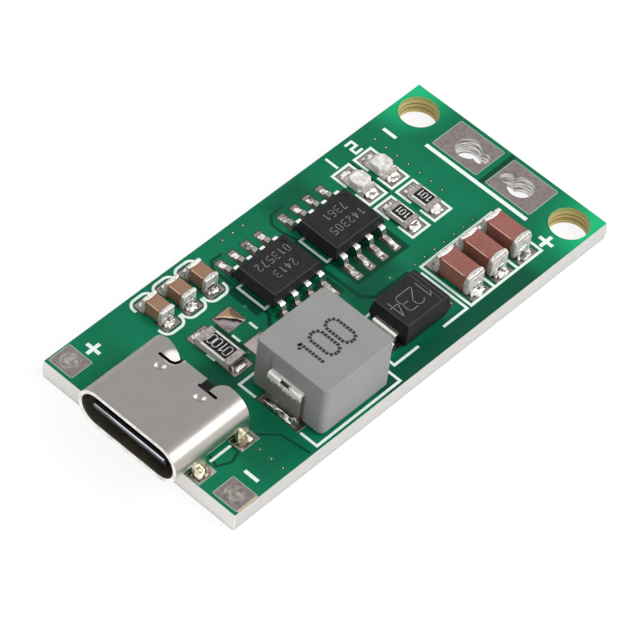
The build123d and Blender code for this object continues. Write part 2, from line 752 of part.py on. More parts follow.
def near_edge_cut():
    """What is cut from the top sheet on the near side: straight slit, wide notch and rounded flap corner."""
    notch_width = NEAR_NOTCH_HALF_WIDTH - REAR_TAB_HALF_WIDTH
    notch_length = SOCKET_LENGTH - SLIT_START + 1
    notch = Pos(SLIT_START + notch_length / 2, REAR_TAB_HALF_WIDTH + notch_width / 2)
    notch = notch * Rectangle(notch_length, notch_width)
    slit_length = SLIT_END_HALF_WIDTH - REAR_TAB_HALF_WIDTH
    slit = Pos(SLIT_START + SLIT_WIDTH / 2, REAR_TAB_HALF_WIDTH + slit_length / 2) * Rectangle(SLIT_WIDTH, slit_length)
    slit_end = Pos(SLIT_START + SLIT_WIDTH / 2, SLIT_END_HALF_WIDTH) * Circle(SLIT_WIDTH / 2)
    start = (SLIT_START + 2.5 * SLIT_WIDTH, NEAR_NOTCH_HALF_WIDTH - 0.01)
    bulge = (SOCKET_LENGTH - 1.6 * SLIT_WIDTH, NEAR_NOTCH_HALF_WIDTH + 1.3 * SLIT_WIDTH)
    cuts = [socket_prism(shape) for shape in (notch, slit, slit_end, flap_corner(start, bulge))]
    return mirror(fuse(cuts), Plane.XZ.offset(-SOCKET_MIDDLE_Y))


def far_edge_cut():
    """What is cut from the top sheet on the far side: a slit that bends to the rear, and the flap's corner."""
    middle_x = SLIT_START + FAR_SLIT_BEND
    middle_y = REAR_TAB_HALF_WIDTH + FAR_SLIT_BEND
    slit_length = SLIT_END_HALF_WIDTH - middle_y
    slit = Pos(SLIT_START + SLIT_WIDTH / 2, middle_y + slit_length / 2) * Rectangle(SLIT_WIDTH, slit_length + 0.02)
    slit_end = Pos(SLIT_START + SLIT_WIDTH / 2, SLIT_END_HALF_WIDTH) * Circle(SLIT_WIDTH / 2)
    ring = Pos(middle_x, middle_y) * (Circle(FAR_SLIT_BEND) - Circle(FAR_SLIT_BEND - SLIT_WIDTH))
    quarter = Pos(middle_x - FAR_SLIT_BEND / 2, middle_y - FAR_SLIT_BEND / 2) * Rectangle(FAR_SLIT_BEND, FAR_SLIT_BEND)
    bend = ring & quarter
    channel_length = SOCKET_LENGTH - middle_x + 1
    channel = Pos(middle_x + channel_length / 2 - 0.01, REAR_TAB_HALF_WIDTH + SLIT_WIDTH / 2)
    channel = channel * Rectangle(channel_length, SLIT_WIDTH)
    start = (REAR_TAB_END - SLIT_WIDTH, REAR_TAB_HALF_WIDTH + SLIT_WIDTH - 0.01)
    bulge = (SOCKET_LENGTH - 1.8 * SLIT_WIDTH, start[1] + 4 * SLIT_WIDTH)
    shapes = (slit, slit_end, bend, channel, flap_corner(start, bulge))
    return fuse([socket_prism(shape) for shape in shapes])


def socket_jacket():
    inner_width = SOCKET_WIDTH - 2 * SOCKET_WALL
    inner_height = SOCKET_HEIGHT - 2 * SOCKET_WALL
    tube = slot_bar(SOCKET_WIDTH, SOCKET_HEIGHT, 0, SOCKET_LENGTH)
    tube -= slot_bar(inner_width, inner_height, 0, SOCKET_LENGTH)
    tube = fillet(tube.edges().group_by(Axis.X)[0], SOCKET_RIM_ROUND)
    tube -= near_edge_cut()
    tube -= far_edge_cut()
    behind_tab = SOCKET_LENGTH - REAR_TAB_END + 1
    tab_end = Pos(REAR_TAB_END + behind_tab / 2, 0) * Rectangle(behind_tab, 2 * REAR_TAB_HALF_WIDTH + SLIT_WIDTH)
    tube -= socket_prism(tab_end)
    for side in (-1, 1):
        x = DIMPLE_FROM_FRONT - SOCKET_OVERHANG
        y = SOCKET_MIDDLE_Y + side * DIMPLE_HALF_SPACING
        z = TOP + SOCKET_HEIGHT + DIMPLE_SPHERE_RADIUS - DIMPLE_DEPTH
        tube -= Pos(x, y, z) * Sphere(DIMPLE_SPHERE_RADIUS)
    opening_length = SOCKET_LENGTH - BOTTOM_OPENING_START + 1
    opening_x = BOTTOM_OPENING_START - SOCKET_OVERHANG + opening_length / 2
    opening = (opening_length, 2 * BOTTOM_OPENING_HALF_WIDTH, 1.5 * SOCKET_WALL)
    tube -= block(opening_x, SOCKET_MIDDLE_Y, TOP, *opening)
    for x, y, side in socket_tab_places():
        height = SOCKET_HEIGHT / 2 + SOCKET_TAB_DEPTH
        tube += block(x, y, TOP - SOCKET_TAB_DEPTH, SOCKET_TAB_LENGTH, SOCKET_WALL, height)
    return tube


def tongue_level():
    return TOP + SOCKET_HEIGHT / 2


def socket_mid_plate():
    length = INSULATOR_FRONT - TONGUE_SETBACK - MID_PLATE_SETBACK
    x = -SOCKET_OVERHANG + TONGUE_SETBACK + MID_PLATE_SETBACK + length / 2
    z = tongue_level() - MID_PLATE_THICKNESS / 2
    return block(x, SOCKET_MIDDLE_Y, z, length, TONGUE_WIDTH, MID_PLATE_THICKNESS)


def socket_contacts(side):
    """One row of contacts: side is 1 on top of the tongue and -1 beneath it."""
    shift = 0 if side > 0 else CONTACT_ROW_SHIFT
    start = -SOCKET_OVERHANG + TONGUE_SETBACK + CONTACT_SETBACK
    rear = SOCKET_LENGTH - SOCKET_OVERHANG - INSULATOR_REAR_SETBACK
    drop_x = rear + CONTACT_THICKNESS / 2
    face = tongue_level() + side * TONGUE_THICKNESS / 2
    low = face if side > 0 else face - CONTACT_THICKNESS
    foot_end = SOCKET_LENGTH - SOCKET_OVERHANG + CONTACT_FOOT
    contacts = []
    for place in CONTACT_PLACES:
        y = SOCKET_MIDDLE_Y + place + shift
        beam_length = rear + CONTACT_THICKNESS - start
        beam = block(start + beam_length / 2, y, low, beam_length, CONTACT_WIDTH, CONTACT_THICKNESS)
        leg_height = low + CONTACT_THICKNESS - TOP
        leg = block(drop_x, y, TOP, CONTACT_THICKNESS, CONTACT_WIDTH, leg_height)
        foot_length = foot_end - rear
        foot = block(rear + foot_length / 2, y, TOP, foot_length, CONTACT_WIDTH, CONTACT_THICKNESS)
        contacts.append(fuse([beam, leg, foot]))
    return contacts


def socket_insulator():
    clearance = 2 * INSULATOR_CLEARANCE
    width = SOCKET_WIDTH - 2 * SOCKET_WALL - clearance
    height = SOCKET_HEIGHT - 2 * SOCKET_WALL - clearance
    rear = SOCKET_LENGTH - INSULATOR_REAR_SETBACK
    body = slot_bar(width, height, INSULATOR_FRONT, rear - INSULATOR_FRONT)
    tongue_length = INSULATOR_FRONT - TONGUE_SETBACK
    tongue_x = -SOCKET_OVERHANG + TONGUE_SETBACK + tongue_length / 2
    tongue_z = tongue_level() - TONGUE_THICKNESS / 2
    tongue = block(tongue_x, SOCKET_MIDDLE_Y, tongue_z, tongue_length, TONGUE_WIDTH, TONGUE_THICKNESS)
    front = tongue.edges().filter_by(Axis.Y).group_by(Axis.X)[0]
    tongue = chamfer(front, TONGUE_THICKNESS / 4)
    body = body + tongue - socket_mid_plate()
    for contact in socket_contacts(1) + socket_contacts(-1):
        body -= contact
    return body


def tab_solder():
    """Solder that fills each slot round its tab and climbs the tab's outer face."""
    pieces = []
    for x, y, side in socket_tab_places():
        place = (x, y, side)
        fill = socket_slot(place, 0, BOARD_THICKNESS)
        tab = block(x, y, TOP - SOCKET_TAB_DEPTH, SOCKET_TAB_LENGTH, SOCKET_WALL, SOCKET_HEIGHT)
        outer_y = y + side * SOCKET_WALL / 2
        length = SOCKET_TAB_LENGTH + 2 * SOCKET_SLOT_CLEARANCE
        wedge = fillet_wedge(x, outer_y, TOP, length, SOCKET_TAB_SOLDER_RUN, SOCKET_TAB_SOLDER_RISE, 0, side)
        pieces.append(fill - tab + wedge)
    return group(pieces)


def fillet_wedge(x, y, z, width, run, rise, side_x, side_y):
    """A hollow-faced solder fillet against a wall: it runs outwards by run and climbs by rise."""
    shares = [(1, 0), (0.61, 0.11), (0.31, 0.31), (0.11, 0.61), (0, 1)]
    points = [(0, 0)] + [(out * run, up * rise) for out, up in shares]
    face = make_face(Polyline(*points, close=True))
    wedge = extrude(Plane.XZ * face, width / 2, both=True)
    turn = 0
    if side_y > 0:
        turn = 90
    elif side_y < 0:
        turn = -90
    elif side_x < 0:
        turn = 180
    return Pos(x, y, z) * Rot(0, 0, turn) * wedge


# Chip capacitors

def capacitor(x, y, length, width, height, band, rounding):
    """A ceramic block with a dipped metal cap on each end. Returns the ceramic and the caps."""
    film = TERMINAL_FILM
    ceramic = block(x, y, TOP + film, width - 2 * film, length - 2 * film, height - 2 * film)
    whole = block(x, y, TOP, width, length, height)
    whole = fillet(whole.edges().filter_by(Axis.X), rounding)
    whole = fillet(whole.edges().filter_by(Axis.Z), rounding * 0.45)
    whole -= ceramic
    caps = []
    for side in (-1, 1):
        face = y + side * (length / 2 - band)
        ball = Pos(x, face + side * DIP_RADIUS, TOP + height / 2) * Sphere(DIP_RADIUS)
        half = block(x, y + side * length / 2, TOP, 2 * width, length, height)
        caps.append((whole & half) & ball)
    return trimmed_ceramic(ceramic, rounding, film), group(caps)


def trimmed_ceramic(ceramic, rounding, film):
    """The block inside the caps, eased at its ends by as much as the caps are rounded."""
    ease = max(rounding - film, film)
    eased = fillet(ceramic.edges().filter_by(Axis.X), ease)
    return fillet(eased.edges().filter_by(Axis.Y), CERAMIC_EDGE)


def end_fillets(x, y, length, width, reach, rise):
    """Solder between each end of a chip part and the outer edge of its land."""
    run = reach - length / 2 - SOLDER_END_GAP
    wedges = []
    for side in (-1, 1):
        wedges.append(fillet_wedge(x, y + side * length / 2, TOP, width, run, rise, 0, side))
    return wedges


# Chip resistors and lamps

def resistor(x, y, length, width, height, band, coat_length, coat_width):
    """A flat ceramic slab with folded end metal and a dark coat. Returns slab, coat and ends."""
    film = TERMINAL_FILM
    slab = block(x, y, TOP + film, width, length - 2 * film, height - 2 * film)
    ends = []
    for side in (-1, 1):
        end_y = y + side * (length - band) / 2
        end = block(x, end_y, TOP, width, band, height)
        ends.append(end - slab)
    coat = block(x, y, TOP + height - film, coat_width, coat_length, film + COAT_PROUD)
    return slab, coat, group(ends)


def lamp(x, y):
    """A chip lamp: slab, lens block and folded end metal."""
    film = TERMINAL_FILM
    slab = block(x, y, TOP + film, LAMP_WIDTH, LAMP_LENGTH - 2 * film, LAMP_BASE_HEIGHT - 2 * film)
    ends = []
    for side in (-1, 1):
        end = block(x, y + side * (LAMP_LENGTH - LAMP_BAND) / 2, TOP, LAMP_WIDTH, LAMP_BAND, LAMP_BASE_HEIGHT)
        ends.append(end - slab)
    low = TOP + LAMP_BASE_HEIGHT - film
    low_size = (LAMP_WIDTH, LAMP_LENS_LENGTH)
    high_size = (LAMP_WIDTH - 2 * LAMP_LENS_SLOPE, LAMP_LENS_LENGTH - 2 * LAMP_LENS_SLOPE)
    lens = frustum(x, y, low, TOP + LAMP_BASE_HEIGHT + LAMP_LENS_HEIGHT, low_size, high_size)
    return slab, lens, group(ends)


# Eight-lead chips

def moulded_body(x, y, length, width, draft, levels):
    """A moulded block, widest at its parting line. Levels are bottom, parting and top."""
    bottom, parting, top = levels
    small = (length - 2 * draft, width - 2 * draft)
    full = (length, width)
    lower = frustum(x, y, TOP + bottom, TOP + parting, small, full)
    upper = frustum(x, y, TOP + parting, TOP + top, full, small)
    return lower + fillet(upper.edges().group_by(Axis.Z)[-1], MOULDING_EDGE)


def drawn_back(end, inner, distance):
    """The end point moved towards its neighbour, which shares its y or its z."""
    if end[1] == inner[1]:
        step = distance if inner[0] > end[0] else -distance
        return (end[0] + step, end[1])
    step = distance if inner[1] > end[1] else -distance
    return (end[0], end[1] + step)


def bent_strip(points, thickness, width, bend):
    """A flat strip bent along points of y and z, centred on x, with rounded bends."""
    points = list(points)
    points[0] = drawn_back(points[0], points[1], thickness / 2)
    points[-1] = drawn_back(points[-1], points[-2], thickness / 2)
    centre = FilletPolyline(*points, radius=bend)
    outline = offset(centre, thickness / 2, kind=Kind.INTERSECTION, side=Side.BOTH)
    face = make_face(Plane.YZ * outline)
    return extrude(face, width / 2, both=True)


def gull_lead():
    """One chip lead in its own frame: y outwards from the chip's middle, z up from the land."""
    half = LEAD_THICKNESS / 2
    root = CHIP_WIDTH / 2 - LEAD_ROOT
    shoulder = CHIP_WIDTH / 2 + LEAD_SHOULDER
    toe = LEAD_SPAN / 2
    knee = toe - LEAD_FOOT
    points = [(root, CHIP_PARTING), (shoulder, CHIP_PARTING), (knee, half), (toe, half)]
    return bent_strip(points, LEAD_THICKNESS, LEAD_WIDTH, LEAD_BEND)


def chip(x):
    """Body and leads of one eight-lead chip."""
    levels = (CHIP_STANDOFF, CHIP_PARTING, CHIP_TOP)
    body = moulded_body(x, CHIP_Y, CHIP_LENGTH, CHIP_WIDTH, CHIP_DRAFT, levels)
    lead = gull_lead()
    leads = []
    for place in lead_places():
        for turn in (0, 180):
            leads.append(Pos(x + place, CHIP_Y, TOP) * Rot(0, 0, turn) * lead)
    for piece in leads:
        body -= piece
    dimple_x = x + CHIP_LENGTH / 2 - CHIP_DRAFT - CHIP_DIMPLE_IN
    dimple_y = CHIP_Y + CHIP_WIDTH / 2 - CHIP_DRAFT - CHIP_DIMPLE_IN
    body -= rod(dimple_x, dimple_y, TOP + CHIP_TOP - CHIP_DIMPLE_DEPTH, CHIP_DIMPLE_DIAMETER, CHIP_DIMPLE_DEPTH)
    return body, group(leads)


def chip_solder():
    """A low fillet in front of each chip lead's toe."""
    wedges = []
    for chip_x in (SWITCH_X, CONTROLLER_X):
        for place in lead_places():
            for side in (-1, 1):
                y = CHIP_Y + side * LEAD_SPAN / 2
                wedges.append(fillet_wedge(
                    chip_x + place, y, TOP, LEAD_WIDTH, LEAD_SOLDER_RUN, LEAD_SOLDER_RISE, 0, side))
    return group(wedges)


# Diode

def diode_lead(side):
    """A lead that leaves the diode's end at half height and folds down and under it."""
    half = DIODE_LEAD_THICKNESS / 2
    outer = DIODE_SPAN / 2 - half
    root = DIODE_LENGTH / 2 - DIODE_LEAD_ROOT
    points = [
        (root, DIODE_PARTING),
        (outer, DIODE_PARTING),
        (outer, half),
        (DIODE_SPAN / 2 - DIODE_LEAD_FOLD, half),
    ]
    strip = bent_strip(points, DIODE_LEAD_THICKNESS, DIODE_LEAD_WIDTH, DIODE_LEAD_THICKNESS)
    return Pos(DIODE_X, DIODE_Y, TOP) * Rot(0, 0, -90 * side) * strip


def diode_body():
    levels = (DIODE_STANDOFF, DIODE_PARTING, DIODE_TOP)
    body = moulded_body(DIODE_X, DIODE_Y, DIODE_LENGTH, DIODE_WIDTH, DIODE_DRAFT, levels)
    for side in (-1, 1):
        body -= diode_lead(side)
    band_x = DIODE_X + DIODE_LENGTH / 2 - DIODE_DRAFT - DIODE_BAND_FROM_END
    for step in range(2):
        x = band_x + step * DIODE_BAND_STEP
        groove_z = TOP + DIODE_TOP - DIODE_BAND_DEPTH
        body -= block(x, DIODE_Y, groove_z, DIODE_BAND_WIDTH, DIODE_WIDTH, DIODE_BAND_DEPTH)
    return body


def diode_solder():
    run = DIODE_PAD_REACH - DIODE_SPAN / 2 - SOLDER_END_GAP
    wedges = []
    for side in (-1, 1):
        x = DIODE_X + side * DIODE_SPAN / 2
        wedges.append(fillet_wedge(x, DIODE_Y, TOP, DIODE_LEAD_WIDTH, run, DIODE_SOLDER_RISE, side, 0))
    return group(wedges)


# Inductor

def strap_y():
    return INDUCTOR_Y + INDUCTOR_RECESS_SHIFT


def inductor_strap(side):
    """A flat strap that leaves the inductor's side, runs down it and folds under."""
    half = STRAP_THICKNESS / 2
    outer = INDUCTOR_LENGTH / 2 + STRAP_STAND_OFF + half
    points = [
        (INDUCTOR_LENGTH / 2 - STRAP_ROOT, STRAP_HEIGHT),
        (outer, STRAP_HEIGHT),
        (outer, half),
        (outer - STRAP_FOLD, half),
    ]
    strip = bent_strip(points, STRAP_THICKNESS, STRAP_WIDTH, STRAP_BEND)
    window_z = STRAP_HEIGHT + half - STRAP_SLIT_HEIGHT
    window = block(0, outer, window_z, STRAP_SLIT_WIDTH, 2 * STRAP_STAND_OFF + STRAP_THICKNESS, STRAP_SLIT_HEIGHT)
    strip -= window
    return Pos(INDUCTOR_X, strap_y(), TOP) * Rot(0, 0, -90 * side) * strip


def inductor_core():
    height = INDUCTOR_TOP - STRAP_THICKNESS
    body = block(INDUCTOR_X, INDUCTOR_Y, TOP + STRAP_THICKNESS, INDUCTOR_LENGTH, INDUCTOR_WIDTH, height)
    body = fillet(body.edges().filter_by(Axis.Z), INDUCTOR_CORNER)
    body = fillet(body.edges().group_by(Axis.Z)[-1], INDUCTOR_EDGE)
    for side in (-1, 1):
        recess_x = INDUCTOR_X + side * INDUCTOR_LENGTH / 2
        depth = 2 * INDUCTOR_RECESS_DEPTH
        body -= block(recess_x, strap_y(), TOP, depth, INDUCTOR_RECESS_WIDTH, INDUCTOR_TOP - INDUCTOR_CORNER)
        body -= inductor_strap(side)
    return body


def inductor_solder():
    face = INDUCTOR_LENGTH / 2 + STRAP_STAND_OFF + STRAP_THICKNESS
    run = INDUCTOR_PAD_REACH - face - SOLDER_END_GAP
    wedges = []
    for side in (-1, 1):
        x = INDUCTOR_X + side * face
        wedges.append(fillet_wedge(x, strap_y(), TOP, STRAP_WIDTH, run, STRAP_SOLDER_RISE, side, 0))
    return group(wedges)


def spare_land_solder():
    """Low lumps of solder left on the empty place's lands."""
    lumps = []
    for x, y, length, width in spare_pads():
        low = (length - 2 * SOLDER_END_GAP, width - 2 * SOLDER_END_GAP)
        high = (length * 0.35, width * 0.35)
        lumps.append(frustum(x, y, TOP, TOP + SPARE_SOLDER_HEIGHT, low, high))
    return group(lumps)


def save_capacitors():
    """Writes both rows of capacitors and returns their solder."""
    solder = []
    for number, (x, y) in enumerate(input_capacitor_places(), start=1):
        size = (INPUT_CAPACITOR_LENGTH, INPUT_CAPACITOR_WIDTH, INPUT_CAPACITOR_HEIGHT)
        ceramic, caps = capacitor(x, y, *size, INPUT_CAPACITOR_BAND, INPUT_CAPACITOR_ROUND)
        save(f"input_capacitor_{number}_ceramic", ceramic)
        save(f"input_capacitor_{number}_caps", caps)
        solder += end_fillets(x, y, size[0], size[1], INPUT_LAND_REACH, CAPACITOR_SOLDER_RISE)
    for number, (x, y) in enumerate(output_capacitor_places(), start=1):
        size = (OUTPUT_CAPACITOR_LENGTH, OUTPUT_CAPACITOR_WIDTH, OUTPUT_CAPACITOR_HEIGHT)
        ceramic, caps = capacitor(x, y, *size, OUTPUT_CAPACITOR_BAND, OUTPUT_CAPACITOR_ROUND)
        save(f"output_capacitor_{number}_ceramic", ceramic)
        save(f"output_capacitor_{number}_caps", caps)
        solder += end_fillets(x, y, size[0], size[1], LARGE_PAD_REACH, OUTPUT_SOLDER_RISE)
    return solder


def save_resistors_and_lamps():
    """Writes the resistors and lamps and returns their solder."""
    x, y = SENSE_RESISTOR_X, SENSE_RESISTOR_Y
    size = (SENSE_RESISTOR_LENGTH, SENSE_RESISTOR_WIDTH, SENSE_RESISTOR_HEIGHT)
    slab, coat, ends = resistor(x, y, *size, SENSE_RESISTOR_BAND, SENSE_COAT_LENGTH, SENSE_COAT_WIDTH)
    save("sense_resistor_slab", slab)
    save("sense_resistor_coat", coat)
    save("sense_resistor_ends", ends)
    solder = end_fillets(x, y, size[0], size[1], LARGE_PAD_REACH, RESISTOR_SOLDER_RISE)
    for number, (x, y) in enumerate(lamp_resistor_places(), start=1):
        size = (SMALL_RESISTOR_LENGTH, SMALL_RESISTOR_WIDTH, SMALL_RESISTOR_HEIGHT)
        slab, coat, ends = resistor(x, y, *size, SMALL_RESISTOR_BAND, SMALL_COAT_LENGTH, SMALL_COAT_WIDTH)
        save(f"lamp_resistor_{number}_slab", slab)
        save(f"lamp_resistor_{number}_coat", coat)
        save(f"lamp_resistor_{number}_ends", ends)
        solder += end_fillets(x, y, size[0], size[1], SMALL_PAD_REACH, RESISTOR_SOLDER_RISE)
    for number, (x, y) in enumerate(lamp_places(), start=1):
        slab, lens, ends = lamp(x, y)
        save(f"lamp_{number}_base", slab)
        save(f"lamp_{number}_lens", lens)
        save(f"lamp_{number}_ends", ends)
        solder += end_fillets(x, y, LAMP_LENGTH, LAMP_WIDTH, SMALL_PAD_REACH, LAMP_SOLDER_RISE)
    return solder


def main():
    os.makedirs("parts", exist_ok=True)
    save("board_laminate", board_laminate())
    save("solder_mask_top", solder_mask_top())
    save("solder_mask_bottom", mask_sheet(0))
    save("component_lands", component_lands())
    save("via_barrels", via_barrels())
    save("legend_print", legend_print())
    near_land, far_land = output_land_places()
    save("output_land_positive", output_land(near_land))
    save("output_land_negative", output_land(far_land))
    near_input, far_input = input_land_places()
    save("input_land_negative", input_land(near_input))
    save("input_land_positive", input_land(far_input))
    save("input_hole_solder", input_hole_solder())
    save("socket_jacket", socket_jacket())
    save("socket_insulator", socket_insulator())
    save("socket_mid_plate", socket_mid_plate())
    save("socket_contacts_upper", group(socket_contacts(1)))
    save("socket_contacts_lower", group(socket_contacts(-1)))
    save("socket_tab_solder", tab_solder())
    capacitor_solder = save_capacitors()
    save("capacitor_solder", group(capacitor_solder))
    resistor_solder = save_resistors_and_lamps()
    save("resistor_and_lamp_solder", group(resistor_solder))
    switch_body, switch_leads = chip(SWITCH_X)
    save("power_switch_body", switch_body)
    save("power_switch_leads", switch_leads)
    controller_body, controller_leads = chip(CONTROLLER_X)
    save("charge_controller_body", controller_body)
    save("charge_controller_leads", controller_leads)
    save("chip_solder", chip_solder())
    save("diode_body", diode_body())
    save("diode_anode_lead", diode_lead(-1))
    save("diode_cathode_lead", diode_lead(1))
    save("diode_solder", diode_solder())
    save("inductor_core", inductor_core())
    save("inductor_strap_socket_side", inductor_strap(-1))
    save("inductor_strap_output_side", inductor_strap(1))
    save("inductor_solder", inductor_solder())
    save("spare_land_solder", spare_land_solder())


main()
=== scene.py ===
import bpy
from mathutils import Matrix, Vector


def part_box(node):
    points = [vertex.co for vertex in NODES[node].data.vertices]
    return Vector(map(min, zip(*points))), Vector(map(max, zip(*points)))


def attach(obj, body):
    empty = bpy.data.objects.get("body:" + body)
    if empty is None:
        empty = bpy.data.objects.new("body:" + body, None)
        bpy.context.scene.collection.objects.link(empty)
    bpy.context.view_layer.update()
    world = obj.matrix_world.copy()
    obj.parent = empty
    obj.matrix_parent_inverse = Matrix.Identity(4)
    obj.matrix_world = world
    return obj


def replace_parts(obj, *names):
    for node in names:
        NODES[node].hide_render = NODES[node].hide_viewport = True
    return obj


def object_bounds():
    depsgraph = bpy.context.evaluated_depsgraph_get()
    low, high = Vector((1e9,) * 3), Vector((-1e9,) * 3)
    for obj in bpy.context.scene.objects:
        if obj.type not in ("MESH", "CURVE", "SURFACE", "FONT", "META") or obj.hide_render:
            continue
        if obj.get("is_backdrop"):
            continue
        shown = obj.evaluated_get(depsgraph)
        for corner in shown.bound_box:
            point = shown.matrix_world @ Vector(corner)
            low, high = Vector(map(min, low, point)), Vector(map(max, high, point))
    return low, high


bl_info = {
    "name": "Battery charger module",
    "version": (1, 0, 0),
    "blender": (4, 5, 0),
    "location": "3D View > Sidebar > Charger",
    "description": "Dresses the packed battery charger module and sets up its studio",
    "category": "Object",
}

import math

import bmesh
import bpy
from bpy.props import FloatProperty, FloatVectorProperty, PointerProperty
from mathutils import Matrix, Vector, noise

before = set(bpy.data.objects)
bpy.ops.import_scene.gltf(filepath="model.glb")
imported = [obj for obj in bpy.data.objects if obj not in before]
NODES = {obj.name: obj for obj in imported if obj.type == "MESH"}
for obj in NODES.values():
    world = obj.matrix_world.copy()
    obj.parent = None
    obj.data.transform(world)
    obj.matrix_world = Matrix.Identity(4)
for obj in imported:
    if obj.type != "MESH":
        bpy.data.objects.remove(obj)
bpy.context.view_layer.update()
MM = 0.001

# Plan coordinates run in millimetres from the board's corner at the socket end, beside the
# inductor, and z from the board's top face.
MASK_LOW, MASK_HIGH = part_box("solder_mask_top")
PLAN_CORNER = Vector((MASK_LOW.x, MASK_LOW.y, MASK_HIGH.z))
BOARD_LENGTH = (MASK_HIGH.x - MASK_LOW.x) / MM
BOARD_WIDTH = (MASK_HIGH.y - MASK_LOW.y) / MM

# How far in from the two sides of its corner each mounting hole and each input hole stands
MOUNT_HOLE_IN = (1.95, 1.75)
INPUT_HOLE_IN = (1.25, 1.22)

# Pairs of nodes, the one towards the socket first
STRAPS = ("inductor_strap_socket_side", "inductor_strap_output_side")
DIODE_LEADS = ("diode_anode_lead", "diode_cathode_lead")
CHIP_LEADS = ("power_switch_leads", "charge_controller_leads")
CHIP_BODIES = ("power_switch_body", "charge_controller_body")


def colour(code):
    """The linear value of an sRGB hex colour."""
    channels = [int(code[i:i + 2], 16) / 255 for i in (1, 3, 5)]
    return tuple(c / 12.92 if c <= 0.04045 else ((c + 0.055) / 1.055) ** 2.4 for c in channels) + (1.0,)


def at(x, y, z=0.0):
    """A point in metres from plan millimetres."""
    return PLAN_CORNER + Vector((x, y, z)) * MM


def plan_box(name):
    """A CAD node's lowest and highest corners in plan millimetres."""
    return [(corner - PLAN_CORNER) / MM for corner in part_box(name)]


def mount_holes():
    """Plan middles of the two mounting holes."""
    x, y = MOUNT_HOLE_IN
    return [(BOARD_LENGTH - x, BOARD_WIDTH / 2 + side * (BOARD_WIDTH / 2 - y)) for side in (-1, 1)]


# Materials

def add(tree, kind, inputs=None, **settings):
    """Adds a node with its settings, its values and the links into it."""
    node = tree.nodes.new(kind)
    for name, value in settings.items():
        setattr(node, name, value)
    for name, value in (inputs or {}).items():
        if isinstance(value, bpy.types.NodeSocket):
            tree.links.new(value, node.inputs[name])
        else:
            node.inputs[name].default_value = value
    return node


def bare_tree(owner):
    """The emptied node tree of a material or a world."""
    owner.use_nodes = True
    owner.node_tree.nodes.clear()
    return owner.node_tree


def start(name):
    """A material, its tree, and the object coordinates its patterns read."""
    material = bpy.data.materials.new(name)
    tree = bare_tree(material)
    return material, tree, add(tree, "ShaderNodeTexCoord").outputs["Object"]


def surfaced(material, inputs, height=None, depth_mm=0.0, strength=1.0):
    """Ends a material with its shader, and with bump of a real depth in millimetres."""
    tree = material.node_tree
    shader = add(tree, "ShaderNodeBsdfPrincipled", inputs)
    if height:
        bump = add(tree, "ShaderNodeBump",
                   {"Height": height, "Strength": strength, "Distance": depth_mm * MM})
        tree.links.new(bump.outputs["Normal"], shader.inputs["Normal"])
    add(tree, "ShaderNodeOutputMaterial", {"Surface": shader.outputs["BSDF"]})
    return material


def calc(tree, operation, *values):
    """The result of a Math node."""
    return add(tree, "ShaderNodeMath", dict(enumerate(values)), operation=operation).outputs[0]


def calc_vector(tree, operation, *values):
    """The result of a Vector Math node, a plain number where the operation gives one."""
    node = add(tree, "ShaderNodeVectorMath", dict(enumerate(values)), operation=operation)
    return node.outputs["Value" if operation in ("DISTANCE", "DOT_PRODUCT") else "Vector"]


def furthest(tree, operation, values):
    """The lowest or highest of several values, by a MINIMUM or MAXIMUM operation."""
    found = values[0]
    for value in values[1:]:
        found = calc(tree, operation, found, value)
    return found


def along_axis(tree, point, axis):
    """One coordinate of a point."""
    return add(tree, "ShaderNodeSeparateXYZ", {0: point}).outputs[axis]


def full(tint):
    """A full colour, from that or from a hex code."""
    return colour(tint) if isinstance(tint, str) else tint


def ramp(tree, value, *stops):
    """A colour ramp between (position, colour) stops."""
    stops = [(position, full(tint)) for position, tint in stops]
    node = add(tree, "ShaderNodeValToRGB", {"Fac": value})
    elements = node.color_ramp.elements
    elements[0].position, elements[0].color = stops[0]
    elements[1].position, elements[1].color = stops[-1]
    for position, tint in stops[1:-1]:
        elements.new(position).color = tint
    return node.outputs["Color"]


def blend(tree, share, first, second):
    """One colour that gives way to another."""
    mix = add(tree, "ShaderNodeMix", {"Factor": share, "A": full(first), "B": full(second)}, data_type="RGBA")
    return mix.outputs["Result"]


def ranged(tree, value, low, high):
    """How far a value has come from one limit to another, from 0 to 1."""
    return add(tree, "ShaderNodeMapRange", {"Value": value, "From Min": low, "From Max": high}).outputs[0]


def smooth(tree, value, low, high, most=1.0):
    """The same with soft ends, up to a chosen most."""
    limits = {"Value": value, "From Min": low, "From Max": high, "To Max": most}
    return add(tree, "ShaderNodeMapRange", limits, interpolation_type="SMOOTHSTEP").outputs[0]


def between(tree, share, low, high):
    """A share from 0 to 1 turned into a value between two others."""
    return add(tree, "ShaderNodeMapRange", {"Value": share, "To Min": low, "To Max": high}).outputs[0]


def opaque(value, share=1.0):
    """A colour setting as a full colour, darker or lighter by a share."""
    return tuple(Vector(value) * share) + (1.0,)


def per_mm(size):
    """The noise scale, in metres, of a pattern with this size in millimetres."""
    return 1 / (size * MM)


def cloudy(tree, point, size_mm, detail, **inputs):
    """Noise with patches of a size in millimetres."""
    inputs = {"Vector": point, "Scale": per_mm(size_mm), "Detail": detail, **inputs}
    return add(tree, "ShaderNodeTexNoise", inputs).outputs["Fac"]


def drawn_out(tree, point, sizes_mm, detail):
    """Noise with patches of a different size along each axis."""
    scale = tuple(per_mm(size) for size in sizes_mm)
    placed = add(tree, "ShaderNodeMapping", {"Vector": point, "Scale": scale}).outputs[0]
    return add(tree, "ShaderNodeTexNoise", {"Vector": placed, "Scale": 1.0, "Detail": detail}).outputs["Fac"]


def plan_point(tree, point):
    """The plan millimetres of a point, with its level left out."""
    return calc_vector(tree, "MULTIPLY", calc_vector(tree, "SUBTRACT", point, PLAN_CORNER),
                       (1 / MM, 1 / MM, 0))


